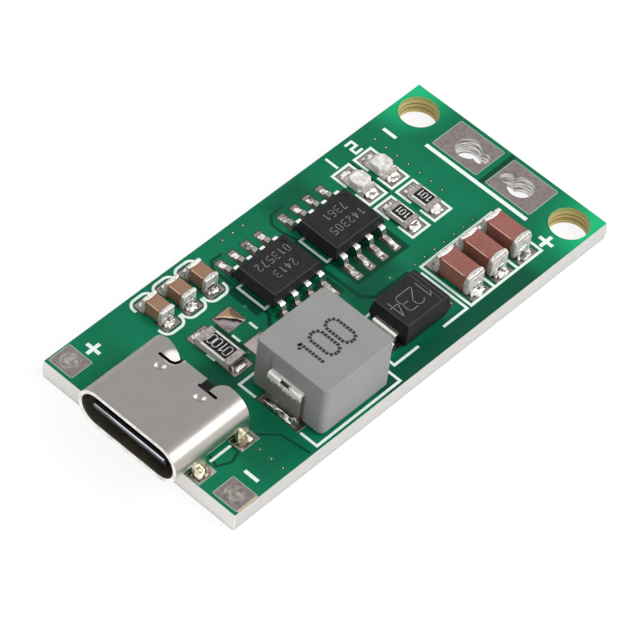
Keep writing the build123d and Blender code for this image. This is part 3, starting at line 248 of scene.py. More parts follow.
def risen(tree, point, low_mm, high_mm):
    """Share of the way from one level over the board to another."""
    return ranged(tree, along_axis(tree, point, "Z"),
                  PLAN_CORNER.z + low_mm * MM, PLAN_CORNER.z + high_mm * MM)


def box_distance(tree, flat, x, y, length, width):
    """How far a plan point lies outside a box, below zero inside it."""
    offset = calc_vector(tree, "ABSOLUTE", calc_vector(tree, "SUBTRACT", flat, (x, y, 0)))
    over = calc_vector(tree, "SUBTRACT", offset, (length / 2, width / 2, 0))
    parts = add(tree, "ShaderNodeSeparateXYZ", {0: over}).outputs
    return calc(tree, "MAXIMUM", parts["X"], parts["Y"])


def path_distances(tree, flat, path):
    """How far a plan point lies from each line of a path."""
    distances = []
    for (x0, y0), (x1, y1) in zip(path, path[1:]):
        run = Vector((x1 - x0, y1 - y0, 0))
        from_start = calc_vector(tree, "SUBTRACT", flat, (x0, y0, 0))
        along = calc_vector(tree, "DOT_PRODUCT", from_start, run / run.length_squared)
        share = add(tree, "ShaderNodeClamp", {"Value": along}).outputs[0]
        foot = add(tree, "ShaderNodeVectorMath", {0: run, "Scale": share}, operation="SCALE").outputs[0]
        distances.append(calc_vector(tree, "DISTANCE", from_start, foot))
    return distances


# Where the copper under the mask is parted: the width and the path of each gap, and whole bare
# areas as x, y, length and width. All plan millimetres.
COPPER_GAPS = [
    (0.34, [(19.46, 10.6), (19.55, 7.1), (20.3, 6.35), (23.4, 6.35)]),
    (0.3, [(13.2, 9.5), (13.9, 10.2), (13.96, 10.9), (13.4, 10.95)]),
    (0.22, [(13.9, 13.6), (13.95, 15.6), (14.4, 16.15), (15.3, 16.1)]),
    (0.24, [(21.5, 16.3), (20.3, 16.2), (19.8, 15.6), (19.8, 14.8), (20.05, 13.4)]),
    (0.2, [(2.0, 3.65), (2.26, 4.5)]), (0.2, [(3.95, 4.3), (3.95, 3.5), (3.0, 3.2), (2.0, 3.65)]),
    (0.4, [(33.4, 8.5), (36.7, 8.5)]), (0.2, [(4.2, 5.2), (7.0, 2.6), (7.3, 0.3)]),
]
BARE_AREAS = [
    (22.78, 9.25, 5.2, 2.8), (19.65, 12.0, 1.0, 3.0), (13.75, 12.1, 1.1, 2.8),
    (10.35, 10.3, 0.7, 3.4), (16.6, 9.0, 5.2, 1.7), (27.9, 14.03, 0.3, 3.6), (26.9, 10.0, 1.6, 1.2),
]
# Half the distance over which a gap's side fades
GAP_FADE = 0.06

# Broad areas of painted shade on the mask: x, y, length, width and how dark they look. Their
# sides fade from one distance outside to one inside.
SHADE_AREAS = [
    (22.3, 0.45, 15.0, 2.0, 0.78), (21.2, 7.7, 4.4, 1.7, 0.62), (22.2, 16.4, 3.4, 1.5, 0.6),
    (5.6, 2.6, 3.4, 3.4, 0.28), (13.0, 12.8, 1.5, 3.0, 0.2), (7.3, 8.7, 2.2, 2.8, 0.75),
]
SHADE_OUTSIDE, SHADE_INSIDE = 1.1, -0.5

# The painted glow at each output corner: how far it runs along the side, where it begins and is
# full, and how strong it gets
GLOW_RUN, GLOW_BEGINS, GLOW_FULL, GLOW_MOST = 1.5, 4.4, 0.2, 0.8

# Levels between the board's top and its underside, where the top's pattern ends
PATTERN_LOW, PATTERN_HIGH = -0.8, -0.7


def copper_gap_field(tree, flat):
    """How far a point is inside a gap in the copper: 1 in a gap, 0 over copper, soft between."""
    outside = []
    for width, path in COPPER_GAPS:
        outside += [calc(tree, "SUBTRACT", away, width / 2) for away in path_distances(tree, flat, path)]
    outside += [box_distance(tree, flat, *area) for area in BARE_AREAS]
    return smooth(tree, furthest(tree, "MINIMUM", outside), GAP_FADE, -GAP_FADE)


def green_mask():
    """Liquid epoxy solder mask, curtain coated and cured: a thin even gloss that dips between the
    copper areas and looks darker where bare laminate lies under it, with broad areas of painted
    shade, and a painted glow at the output corners as if light came through the edge. The
    underside's copper is taken as one unbroken sheet."""
    settings = bpy.context.scene.charger_module
    material, tree, point = start("epoxy_solder_mask_cured")
    flat = plan_point(tree, point)
    on_top = risen(tree, point, PATTERN_LOW, PATTERN_HIGH)
    gap = calc(tree, "MULTIPLY", copper_gap_field(tree, flat), on_top)
    dark = gap
    # painted shade: the broad areas darken the mask towards the gap green
    for *area, share in SHADE_AREAS:
        shade_area = smooth(tree, box_distance(tree, flat, *area), SHADE_OUTSIDE, SHADE_INSIDE, share)
        dark = calc(tree, "MAXIMUM", dark, calc(tree, "MULTIPLY", shade_area, on_top))
    over_copper = ramp(tree, cloudy(tree, point, 4.0, 3), (0.3, opaque(settings.mask_dark)),
                       (0.7, opaque(settings.mask_light)))
    # painted glow at the output corners
    corners = []
    for y in (0, BOARD_WIDTH):
        corners += path_distances(tree, flat, [(BOARD_LENGTH, y), (BOARD_LENGTH - GLOW_RUN, y)])
    glow = smooth(tree, furthest(tree, "MINIMUM", corners), GLOW_BEGINS, GLOW_FULL, GLOW_MOST)
    lit = blend(tree, glow, over_copper, opaque(settings.mask_glow))
    peel = cloudy(tree, point, 0.45, 2)
    lower = calc(tree, "MULTIPLY_ADD", gap, -1.0, 1.0)
    height = calc(tree, "MULTIPLY_ADD", peel, 0.12, lower)
    tint = blend(tree, dark, lit, opaque(settings.mask_gap_and_shade))
    rough = between(tree, peel, 0.32, 0.44)
    return surfaced(material, {"Base Color": tint, "Roughness": rough, "Specular IOR Level": 0.08},
                    height, 0.035)


def snapped_laminate():
    """Glass-cloth epoxy sheet, scored and snapped at its edges and drilled: pale fibrous edges
    with layers, and tan hole walls ringed by the drill."""
    material, tree, point = start("glass_cloth_epoxy_snapped")
    threads = drawn_out(tree, point, (0.9, 0.9, 0.12), 5)
    edge = ramp(tree, threads, (0.3, "#B4B2B0"), (0.55, "#BDBBB9"), (0.75, "#C4C2C0"))
    # painted light: the socket end face is painted paler, so it shows lighter than its light leaves it
    end = calc(tree, "LESS_THAN", along_axis(tree, point, "X"), PLAN_CORNER.x + 0.02 * MM)
    edge = blend(tree, end, edge, "#E4E1DF")
    # the holes are 1.45 mm in radius, so whatever lies within 1.5 mm of a middle is their wall
    level = calc_vector(tree, "MULTIPLY", point, (1, 1, 0))
    middles = [at(x, y) for x, y in mount_holes()]
    away = [calc_vector(tree, "DISTANCE", level, (middle.x, middle.y, 0)) for middle in middles]
    in_hole = calc(tree, "LESS_THAN", furthest(tree, "MINIMUM", away), 1.5 * MM)
    rings = add(tree, "ShaderNodeTexNoise",
                {"W": along_axis(tree, point, "Z"), "Scale": per_mm(0.16), "Detail": 3},
                noise_dimensions="1D").outputs["Fac"]
    wall = ramp(tree, rings, (0.36, "#7E6A38"), (0.5, "#B09F5C"), (0.62, "#E0D49A"))
    # painted reflection: the mask's green is painted into the top of the hole's wall
    green_reflection_painted = calc(tree, "MULTIPLY", risen(tree, point, -0.6, 0.0), 0.55)
    wall = blend(tree, green_reflection_painted, wall, "#74A552")
    tint = blend(tree, in_hole, edge, wall)
    height = calc(tree, "MULTIPLY_ADD", rings, in_hole, threads)
    return surfaced(material, {"Base Color": tint, "Roughness": 0.62}, height, 0.05, 0.35)


def wire_land():
    """Hot-air levelled tin on copper: dull mottled grey on both flat faces, and ringed by the drill
    where it lines the holes, painted brighter there as a reflection of the pale floor."""
    material, tree, point = start("tin_levelled_over_wire_lands")
    mottle = cloudy(tree, point, 0.3, 4)
    flat = ramp(tree, mottle, (0.3, "#7B7070"), (0.5, "#847A79"), (0.7, "#8E8583"))
    # the lining: whatever lies within 0.76 mm of a level 0.79 mm down
    wall = calc(tree, "COMPARE", along_axis(tree, point, "Z"), PLAN_CORNER.z - 0.79 * MM, 0.76 * MM)
    rings = drawn_out(tree, point, (1.4, 1.4, 0.13), 3)
    # painted reflection: the lining is painted far brighter than the flat faces
    lining_painted_bright = ramp(tree, rings, (0.38, "#625E5C"), (0.48, "#C2BFBB"), (0.6, "#F2F0EE"))
    tint = blend(tree, wall, flat, lining_painted_bright)
    height = calc(tree, "MULTIPLY_ADD", rings, wall, mottle)
    return surfaced(material, {"Base Color": tint, "Metallic": 0.75, "Roughness": 0.42}, height, 0.03, 0.6)


def plain_print(name, code, rough, grain_mm):
    """Screened epoxy ink: opaque, slightly uneven in thickness, with a soft edge to its gloss."""
    material, tree, point = start(name)
    grain = cloudy(tree, point, grain_mm, 3)
    base = colour(code)[:3]
    tint = ramp(tree, grain, (0.25, opaque(base, 0.84)), (0.6, opaque(base)))
    return surfaced(material, {"Base Color": tint, "Roughness": rough}, grain, 0.01, 0.6)


def metal(name, light, dark, rough, grain_mm, depth_mm, bare=0.5, metallic=1.0):
    """Plated or molten metal: patches of brighter and duller surface, and a fine uneven skin. bare
    is the level of the noise about which dull gives way to bright."""
    material, tree, point = start(name)
    patches = cloudy(tree, point, grain_mm, 4, Roughness=0.6)
    tint = ramp(tree, patches, (bare - 0.16, dark), (bare + 0.12, light))
    shade = between(tree, patches, rough * 1.35, rough * 0.75)
    return surfaced(material, {"Base Color": tint, "Roughness": shade, "Metallic": metallic},
                    patches, depth_mm)


def moulding(name, base, speck, rough, grain_mm, depth_mm, specular=0.5):
    """Moulded or fired body: one colour with fine filler specks and the mould's fine grain."""
    material, tree, point = start(name)
    grain = cloudy(tree, point, grain_mm, 5, Roughness=0.7)
    broad = cloudy(tree, point, grain_mm * 12, 2)
    mixed = calc(tree, "MULTIPLY_ADD", broad, 0.35, grain)
    tint = ramp(tree, mixed, (0.5, base), (0.85, speck))
    shade = between(tree, grain, rough - 0.08, rough + 0.08)
    return surfaced(material, {"Base Color": tint, "Roughness": shade, "Specular IOR Level": specular},
                    grain, depth_mm)


def milky_resin():
    """Cast silicone over a lamp die: milky and soft lit, a little cloudy."""
    material, tree, point = start("cast_milky_resin")
    cloud = cloudy(tree, point, 0.35, 3)
    tint = ramp(tree, cloud, (0.35, "#B9B6B1"), (0.5, "#CECBC6"), (0.62, "#DBD9D5"))
    scattered = (0.4 * MM, 0.35 * MM, 0.25 * MM)
    return surfaced(material, {"Base Color": tint, "Roughness": 0.3, "Subsurface Weight": 0.35,
                               "Subsurface Radius": scattered}, cloud, 0.03, 0.6)


def painted_powder():
    """Pressed iron powder under matt paint: the powder's grain shows through as fine pits."""
    paint = bpy.context.scene.charger_module.inductor
    material, tree, point = start("pressed_iron_powder_painted")
    grain = cloudy(tree, point, 0.09, 5)
    mixed = calc(tree, "MULTIPLY_ADD", cloudy(tree, point, 2.5, 2), 0.5, grain)
    tint = ramp(tree, mixed, (0.5, opaque(paint, 0.9)), (0.95, opaque(paint, 1.1)))
    return surfaced(material, {"Base Color": tint, "Roughness": 0.55}, grain, 0.02, 0.8)


# Painted highlights on the jacket's top, JACKET_TOP over the board: round the rims of its two
# dimples, and on the far flap beside its slit. x, y and radius in plan millimetres.
JACKET_TOP = 3.24
PAINTED_HIGHLIGHT_PLACES = [
    (3.17, 10.55, 0.19), (3.47, 10.12, 0.22), (3.17, 6.95, 0.19), (3.47, 6.48, 0.22), (4.5, 10.25, 0.8),
    (4.85, 9.95, 0.6),
]
# The painted shade along the slits in its top, as plan paths
SLIT_SHADE_PATHS = [[(4.06, 11.07), (4.06, 10.14), (4.2, 9.82), (4.52, 9.68), (4.95, 9.68)],
              [(4.06, 5.97), (4.06, 7.45)]]


def satin_jacket():
    """Pressed steel strip, nickel plated: a smooth satin warm grey with hardly any grain left, painted
    brighter down the sides as a painted reflection, with painted highlights on its top and painted
    shade along its slits."""
    steel = bpy.context.scene.charger_module.steel
    material, tree, point = start("nickel_plated_pressed_steel")
    grain = drawn_out(tree, point, (0.8, 0.25, 0.25), 4)
    tint = ramp(tree, grain, (0.3, opaque(steel, 0.98)), (0.7, opaque(steel, 1.02)))
    # painted reflection: pale cream low down on the sides, giving way to the steel by the shoulder
    tint = blend(tree, risen(tree, point, 1.0, 2.9), "#EAE7DA", tint)
    # painted highlights, near white
    painted_highlights = []
    for x, y, radius in PAINTED_HIGHLIGHT_PLACES:
        away = calc_vector(tree, "DISTANCE", point, at(x, y, JACKET_TOP))
        painted_highlights.append(smooth(tree, away, radius * MM, radius * 0.45 * MM))
    tint = blend(tree, furthest(tree, "MAXIMUM", painted_highlights), tint, "#FAF7F4")
    # painted shade along the slits
    flat = plan_point(tree, point)
    slit_shade_distance = furthest(tree, "MINIMUM",
                       [away for path in SLIT_SHADE_PATHS for away in path_distances(tree, flat, path)])
    tint = blend(tree, smooth(tree, slit_shade_distance, 0.15, 0.09), tint, "#2C2422")
    return surfaced(material,
                    {"Base Color": tint, "Roughness": between(tree, grain, 0.3, 0.34), "Metallic": 1.0})


def tongue_painted_light():
    """The steel tip of the tongue: painted shade below, and a painted highlight along its rounded top."""
    material, tree, point = start("steel_edge_of_tongue")
    mixed = calc(tree, "MULTIPLY_ADD", cloudy(tree, point, 1.2, 2), 0.25, risen(tree, point, 1.6, 1.98))
    tint = ramp(tree, mixed, (0.15, "#15151A"), (0.6, "#5C6070"), (0.92, "#A6AABA"), (1.0, "#F3F4FA"))
    return surfaced(material, {"Base Color": tint, "Metallic": 0.8, "Roughness": 0.3})


def reflowed_solder(name, light, mid, rough):
    """Reflowed tin solder, lumpy, with painted light: bright and dark patches as painted reflections,
    bright where it stands up, and a dark brown rim of painted shade, with flux's brown, where it
    thins out on the land."""
    material, tree, point = start(name)
    lumps = cloudy(tree, point, 0.42, 3)
    # painted reflections: dark, middle and bright patches
    face = ramp(tree, lumps, (0.34, "#79736C"), (0.44, mid), (0.54, light))
    # painted shade: darker and browner low down
    wavy = calc(tree, "MULTIPLY_ADD", lumps, 1.1, risen(tree, point, 0.015, 0.14))
    tint = blend(tree, ranged(tree, wavy, 0.42, 0.72), "#4A423B", face)
    return surfaced(material, {"Base Color": tint, "Metallic": 1.0, "Roughness": rough}, lumps, 0.06)


def bend_with_painted_light(name, low_mm, high_mm, bottom, middle, top, rough, metallic=1.0):
    """Tinned strip bent in a press, with painted light: painted shade low down and a painted highlight over
    its bend.
    """
    material, tree, point = start(name)
    patches = cloudy(tree, point, 0.3, 4)
    mixed = calc(tree, "MULTIPLY_ADD", patches, 0.3, risen(tree, point, low_mm, high_mm))
    # bottom is the painted shade, top the painted highlight
    tint = ramp(tree, mixed, (0.12, bottom), (0.55, middle), (0.9, middle), (1.0, top))
    return surfaced(material, {"Base Color": tint, "Metallic": metallic, "Roughness": rough}, patches, 0.02)


def reworked_solder():
    """Solder left on the empty place by hand: mauve-grey metal, folded along one crease, and
    stained tan by flux beyond it, with painted shade in the crease and painted highlights on its
    near edge and just past the crease."""
    material, tree, point = start("hand_wiped_solder_flux_stained")
    # millimetres beyond the crease, which passes the middle of the empty place
    beyond = calc_vector(tree, "DOT_PRODUCT", calc_vector(tree, "SUBTRACT", point, at(11.57, 11.72)),
                         (0.79 / MM, 0.61 / MM, 0))
    wave = cloudy(tree, point, 0.5, 2)
    share = ranged(tree, calc(tree, "MULTIPLY_ADD", wave, 0.4, beyond), -1.05, 1.15)
    # a painted highlight at the near edge, painted shade in the crease, a painted highlight past it, then the
    # tan stain
    stain_and_painted_light = ramp(tree, share, (0.0, "#B5A9A5"), (0.2, "#6F6468"), (0.38, "#A3979A"), (0.46, "#8C8084"),
                 (0.5, "#201812"), (0.57, "#2A1F17"), (0.6, "#E4D8C8"), (0.64, "#A88B6A"), (1.0, "#A3866A"))
    return surfaced(material, {"Base Color": stain_and_painted_light, "Metallic": 0.8, "Roughness": 0.3}, wave, 0.08, 0.7)


def dress(material, *names):
    """Gives CAD nodes a material."""
    for name in names:
        slots = NODES[name].data.materials
        slots.clear()
        slots.append(material)


def named(*words):
    """The CAD nodes whose names hold every word."""
    return sorted(name for name in NODES if all(word in name for word in words))


# Pieces

# How high laser marks and printed ink stand over their surface, and how far the frames round the
# lands stand clear of them
LASER_HIGH, INK_HIGH = 0.004, 0.006
CLEAR = 0.03
# How far apart the vias stand in a row
VIA_STEP = 1.06


def finish(name, bm, material, rounded=True):
    """Turns a bmesh into a piece that rides on the board."""
    bmesh.ops.recalc_face_normals(bm, faces=bm.faces)
    mesh = bpy.data.meshes.new(name)
    bm.to_mesh(mesh)
    bm.free()
    mesh.polygons.foreach_set("use_smooth", [rounded] * len(mesh.polygons))
    mesh.materials.append(material)
    piece = bpy.data.objects.new(name, mesh)
    bpy.context.scene.collection.objects.link(piece)
    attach(piece, "root")
    return piece


def copied(name):
    """A CAD node's own mesh, with its doubles merged."""
    bm = bmesh.new()
    bm.from_mesh(NODES[name].data)
    bmesh.ops.remove_doubles(bm, verts=bm.verts, dist=1e-7)
    return bm


def pour(part, whole):
    """Adds one bmesh to another and frees it."""
    mesh = bpy.data.meshes.new("part")
    part.to_mesh(mesh)
    part.free()
    whole.from_mesh(mesh)
    bpy.data.meshes.remove(mesh)


def placed(x, y, z, length, width, height, turn=Matrix()):
    """The matrix that brings a shape of size 1 to its millimetres, about a plan point."""
    return Matrix.Translation(at(x, y, z)) @ turn @ Matrix.Diagonal((length * MM, width * MM, height * MM, 1))


def bar(bm, begin, end, width, thickness, z):
    """A flat bar with square ends between two plan points, lying on the level z."""
    run = Vector((end[0] - begin[0], end[1] - begin[1]))
    turn = Matrix.Rotation(math.atan2(run.y, run.x), 4, "Z")
    middle = ((begin[0] + end[0]) / 2, (begin[1] + end[1]) / 2, z + thickness / 2)
    bmesh.ops.create_cube(bm, size=1, matrix=placed(*middle, run.length + width, width, thickness, turn))


def frame_bars(bm, left, near, right, far, width, thickness):
    """Four bars on the board's top that frame a plan box, just clear of it."""
    left, near, right, far = left - CLEAR, near - CLEAR, right + CLEAR, far + CLEAR
    corners = [(left, near), (right, near), (right, far), (left, far)]
    for begin, end in zip(corners, corners[1:] + corners[:1]):
        bar(bm, begin, end, width, thickness, 0)


def round_off(bm, edges, offset_mm, segments):
    """Bevels edges by millimetres."""
    bmesh.ops.bevel(bm, geom=edges, affect="EDGES", offset=offset_mm * MM, segments=segments, profile=0.5,
                    material=-1)


def upright_edges(bm):
    """The edges of a block that climb."""
    return [edge for edge in bm.edges if abs(edge.verts[0].co.z - edge.verts[1].co.z) > 0.1 * MM]


def turned(x, y, profile, steps, closed):
    """A profile of (radius, z) points spun right round a plan point."""
    ring = bmesh.new()
    verts = [ring.verts.new(at(x + radius, y, z)) for radius, z in profile]
    edges = [ring.edges.new(pair) for pair in zip(verts, verts[1:] + (verts[:1] if closed else []))]
    bmesh.ops.spin(ring, geom=verts + edges, cent=at(x, y), axis=(0, 0, 1),
                   angle=math.tau, steps=steps, use_merge=True)
    bmesh.ops.remove_doubles(ring, verts=ring.verts, dist=1e-6)
    return ring


def both_ends(names):
    """For a pair of nodes: which side of their middle each is on, the x of its outer end, its box."""
    for side, name in zip((-1, 1), names):
        low, high = plan_box(name)
        yield side, low.x if side < 0 else high.x, low, high


# Rows of chip parts that lie along y, by how many parts stand in a row: the first part's x, the
# step to the next, the row's y, its lands' distance from that, and their length and width.
LAND_ROWS = [
    (3, [(8.4, 2.11, 15.35, 1.025, 1.4, 1.15), (25.75, 2.41, 3.75, 1.47, 1.73, 1.6)]),
    (2, [(9.15, 2.42, 10.25, 1.47, 1.73, 1.6), (26.92, 2.24, 14.03, 1.125, 1.4, 1.01),
         (26.92, 2.24, 10.02, 1.125, 1.4, 1.01)]),
]
# The chips' middles, their lead pitch, and the distance and size of their lands
CHIP_X, CHIP_Y, LEAD_PITCH, LEAD_LAND = (16.57, 22.7), 12.0, 1.27, (3.01, 0.62, 1.62)
# The middle of the diode and of the inductor, and the distance and size of their lands
PAIRS_ALONG_X = [(20.5, 3.53, 2.4, 1.8, 2.4), (12.1, 3.94, 3.05, 2.1, 3.65)]


def part_lands():
    """Middle and size of each part's land: x, y, length along x, width along y."""
    lands = []
    for count, rows in LAND_ROWS:
        for step in range(count):
            for side in (-1, 1):
                lands += [(x + pitch * step, y + side * away, *size) for x, pitch, y, away, *size in rows]
    away, *size = LEAD_LAND
    for middle in CHIP_X:
        for place in range(4):
            lands += [(middle + LEAD_PITCH * (place - 1.5), CHIP_Y + side * away, *size) for side in (-1, 1)]
    for side in (-1, 1):
        lands += [(x + side * away, y, *size) for x, y, away, *size in PAIRS_ALONG_X]
    return lands


def via_middles():
    """Plan places of the vias."""
    places = [(13.16, 11.77), (22.27, 6.85), (10.48, 8.86)]
    places += [(30.85, 9.84 + VIA_STEP * step) for step in range(7)]
    places += [(24.4 + step, 6.52) for step in range(7)]
    places += [(16.3 + step, BOARD_WIDTH - 0.68) for step in range(3)]
    places += [(5.1, 0.55 + VIA_STEP * step) for step in range(3)]
    return places


# The strokes of plain digits, as paths in a cell 0 to 1 wide and 0 to 2 high
DIGIT_PATHS = {
    "0": [[(0.25, 0), (0.75, 0), (1, 0.25), (1, 1.75), (0.75, 2), (0.25, 2),
           (0, 1.75), (0, 0.25), (0.25, 0)]],
    "1": [[(0.5, 0), (0.5, 2), (0.1, 1.6)]],
    "2": [[(0, 1.75), (0.25, 2), (0.75, 2), (1, 1.75), (1, 1.25), (0, 0.2), (0, 0), (1, 0)]],
    "3": [[(0, 2), (0.75, 2), (1, 1.75), (1, 1.2), (0.8, 1), (0.25, 1)],
          [(0.8, 1), (1, 0.8), (1, 0.25), (0.75, 0), (0, 0)]],
    "4": [[(0.7, 0), (0.7, 2), (0, 0.6), (1, 0.6)]],
    "5": [[(1, 2), (0, 2), (0, 1.1), (0.75, 1.1), (1, 0.85), (1, 0.25), (0.75, 0), (0, 0)]],
    "6": [[(0.9, 2), (0.25, 2), (0, 1.75), (0, 0.25), (0.25, 0), (0.75, 0), (1, 0.25), (1, 0.85), (0.75, 1.1),
           (0, 1.1)]],
    "7": [[(0, 2), (1, 2), (0.4, 0)]],
}
# A digit's width as a share of half its height
DIGIT_WIDTH = 0.95


def digit_lines(text, start_point, reading, height, spacing):
    """Plan strokes of a row of digits. reading is the direction the row runs in."""
    across = Vector(reading)
    up = Vector((-across.y, across.x))
    half = height / 2
    lines = []
    for place, digit in enumerate(text):
        origin = Vector(start_point) + across * (place * spacing)
        for path in DIGIT_PATHS[digit]:
            spots = [origin + across * (x * half * DIGIT_WIDTH) + up * (y * half) for x, y in path]
            lines += zip(spots, spots[1:])
    return lines


def print_digits(bm, text, start_point, reading, height, spacing, line, thickness, z):
    """A row of digits in flat bars."""
    for begin, end in digit_lines(text, start_point, reading, height, spacing):
        bar(bm, begin, end, line, thickness, z)


def solder_lump(bm, corner, outward, run, rise, width, seed):
    """A closed concave solder joint. corner is the plan foot of the wall it climbs, at z 0, and
    outward the plan direction it runs in."""
    lump = bmesh.new()
    bmesh.ops.create_cube(lump, size=1)
    bmesh.ops.subdivide_edges(lump, edges=lump.edges, cuts=7, use_grid_fill=True)
    out = Vector((*outward, 0))
    side = Vector((-out.y, out.x, 0))
    foot = at(*corner)
    for vert in lump.verts:
        share_out, across, up = vert.co.x + 0.5, vert.co.y, vert.co.z + 0.5
        fall = (1 - share_out) ** 1.9
        crown = 1 - 0.35 * (abs(across) * 2) ** 4
        height = rise * (0.1 + 0.9 * fall) * crown * min(1.0, (1 - share_out) * 6 + 0.25)
        spread = width * (1 + 0.06 * (1 - fall))
        bumpy = noise.noise(Vector((share_out * 2.2, across * 2.6, seed * 3.1))) * 0.1 * up
        vert.co = foot + (out * run * share_out + side * spread * across) * MM
        vert.co.z += max(0.0, height * up * (1 + bumpy)) * MM
    pour(lump, bm)


def solder_dome(bm, x, y, half_x, half_y, height, seed):
    """A closed low dome of solder with a flat foot on the board's top."""
    lump = bmesh.new()
    bmesh.ops.create_uvsphere(lump, u_segments=28, v_segments=18, radius=1)
    bmesh.ops.bisect_plane(lump, geom=lump.verts[:] + lump.edges[:] + lump.faces[:], dist=1e-6,
                           plane_co=(0, 0, 0), plane_no=(0, 0, -1), clear_outer=True)
    bmesh.ops.holes_fill(lump, edges=[edge for edge in lump.edges if edge.is_boundary])
    for vert in lump.verts:
        swell = 1 + 0.3 * noise.noise(Vector((vert.co.x * 1.3, vert.co.y * 1.3, vert.co.z + seed)))
        squarer = 1 + 0.22 * (1 - abs(vert.co.x ** 2 - vert.co.y ** 2)) * math.hypot(vert.co.x, vert.co.y) ** 2
        vert.co = at(x + vert.co.x * half_x * swell * squarer, y + vert.co.y * half_y * swell * squarer,
                     max(0, vert.co.z) * height * swell)
    pour(lump, bm)


# Settings

class ChargerSettings(bpy.types.PropertyGroup):
    mask_light: FloatVectorProperty(
        name="Mask, light", description="Green of the solder mask over copper", subtype="COLOR",
        default=colour("#0C6F4E")[:3], min=0, max=1)
    mask_dark: FloatVectorProperty(
        name="Mask, dark", description="Deeper green of the solder mask over copper", subtype="COLOR",
        default=colour("#096244")[:3], min=0, max=1)
    # the green of the copper gaps, also used for the painted shade areas
    mask_gap_and_shade: FloatVectorProperty(
        name="Mask, gaps", description="Green of the mask where no copper lies under it", subtype="COLOR",
        default=colour("#053E2C")[:3], min=0, max=1)
    # the colour of the painted glow at the output corners
    mask_glow: FloatVectorProperty(
        name="Mask, output corners", description="Green of the mask at the output corners", subtype="COLOR",
        default=colour("#1FB576")[:3], min=0, max=1)
    steel: FloatVectorProperty(
        name="Socket steel", description="Colour of the socket's plated jacket", subtype="COLOR",
        default=colour("#989491")[:3], min=0, max=1)
    inductor: FloatVectorProperty(
        name="Inductor", description="Colour of the painted inductor", subtype="COLOR",
        default=colour("#838382")[:3], min=0, max=1)
    dot_size: FloatProperty(
        name="Dot size", description="Diameter of the inductor's printed dots", unit="LENGTH",
        default=0.25 * MM, min=0.05 * MM, max=0.3 * MM, precision=5)
    mark_line: FloatProperty(
        name="Mark line", description="Line width of the laser marks on the chips", unit="LENGTH",
        default=0.06 * MM, min=0.02 * MM, max=0.2 * MM, precision=5)
    key_power: FloatProperty(
        name="Key light", description="Power of the soft key light", unit="POWER", default=2.1, min=0, max=50)
    strip_power: FloatProperty(
        name="Strip light", description="Power of the strip that only shines in metal",
        unit="POWER", default=2.0, min=0, max=50)
    room_light: FloatProperty(
        name="Room light", description="Strength of the even light from all round",
        default=0.84, min=0, max=2)
    lens: FloatProperty(
        name="Lens", description="Focal length of the camera in millimetres", subtype="NONE",
        default=245.36, min=20, max=500)


# Operators

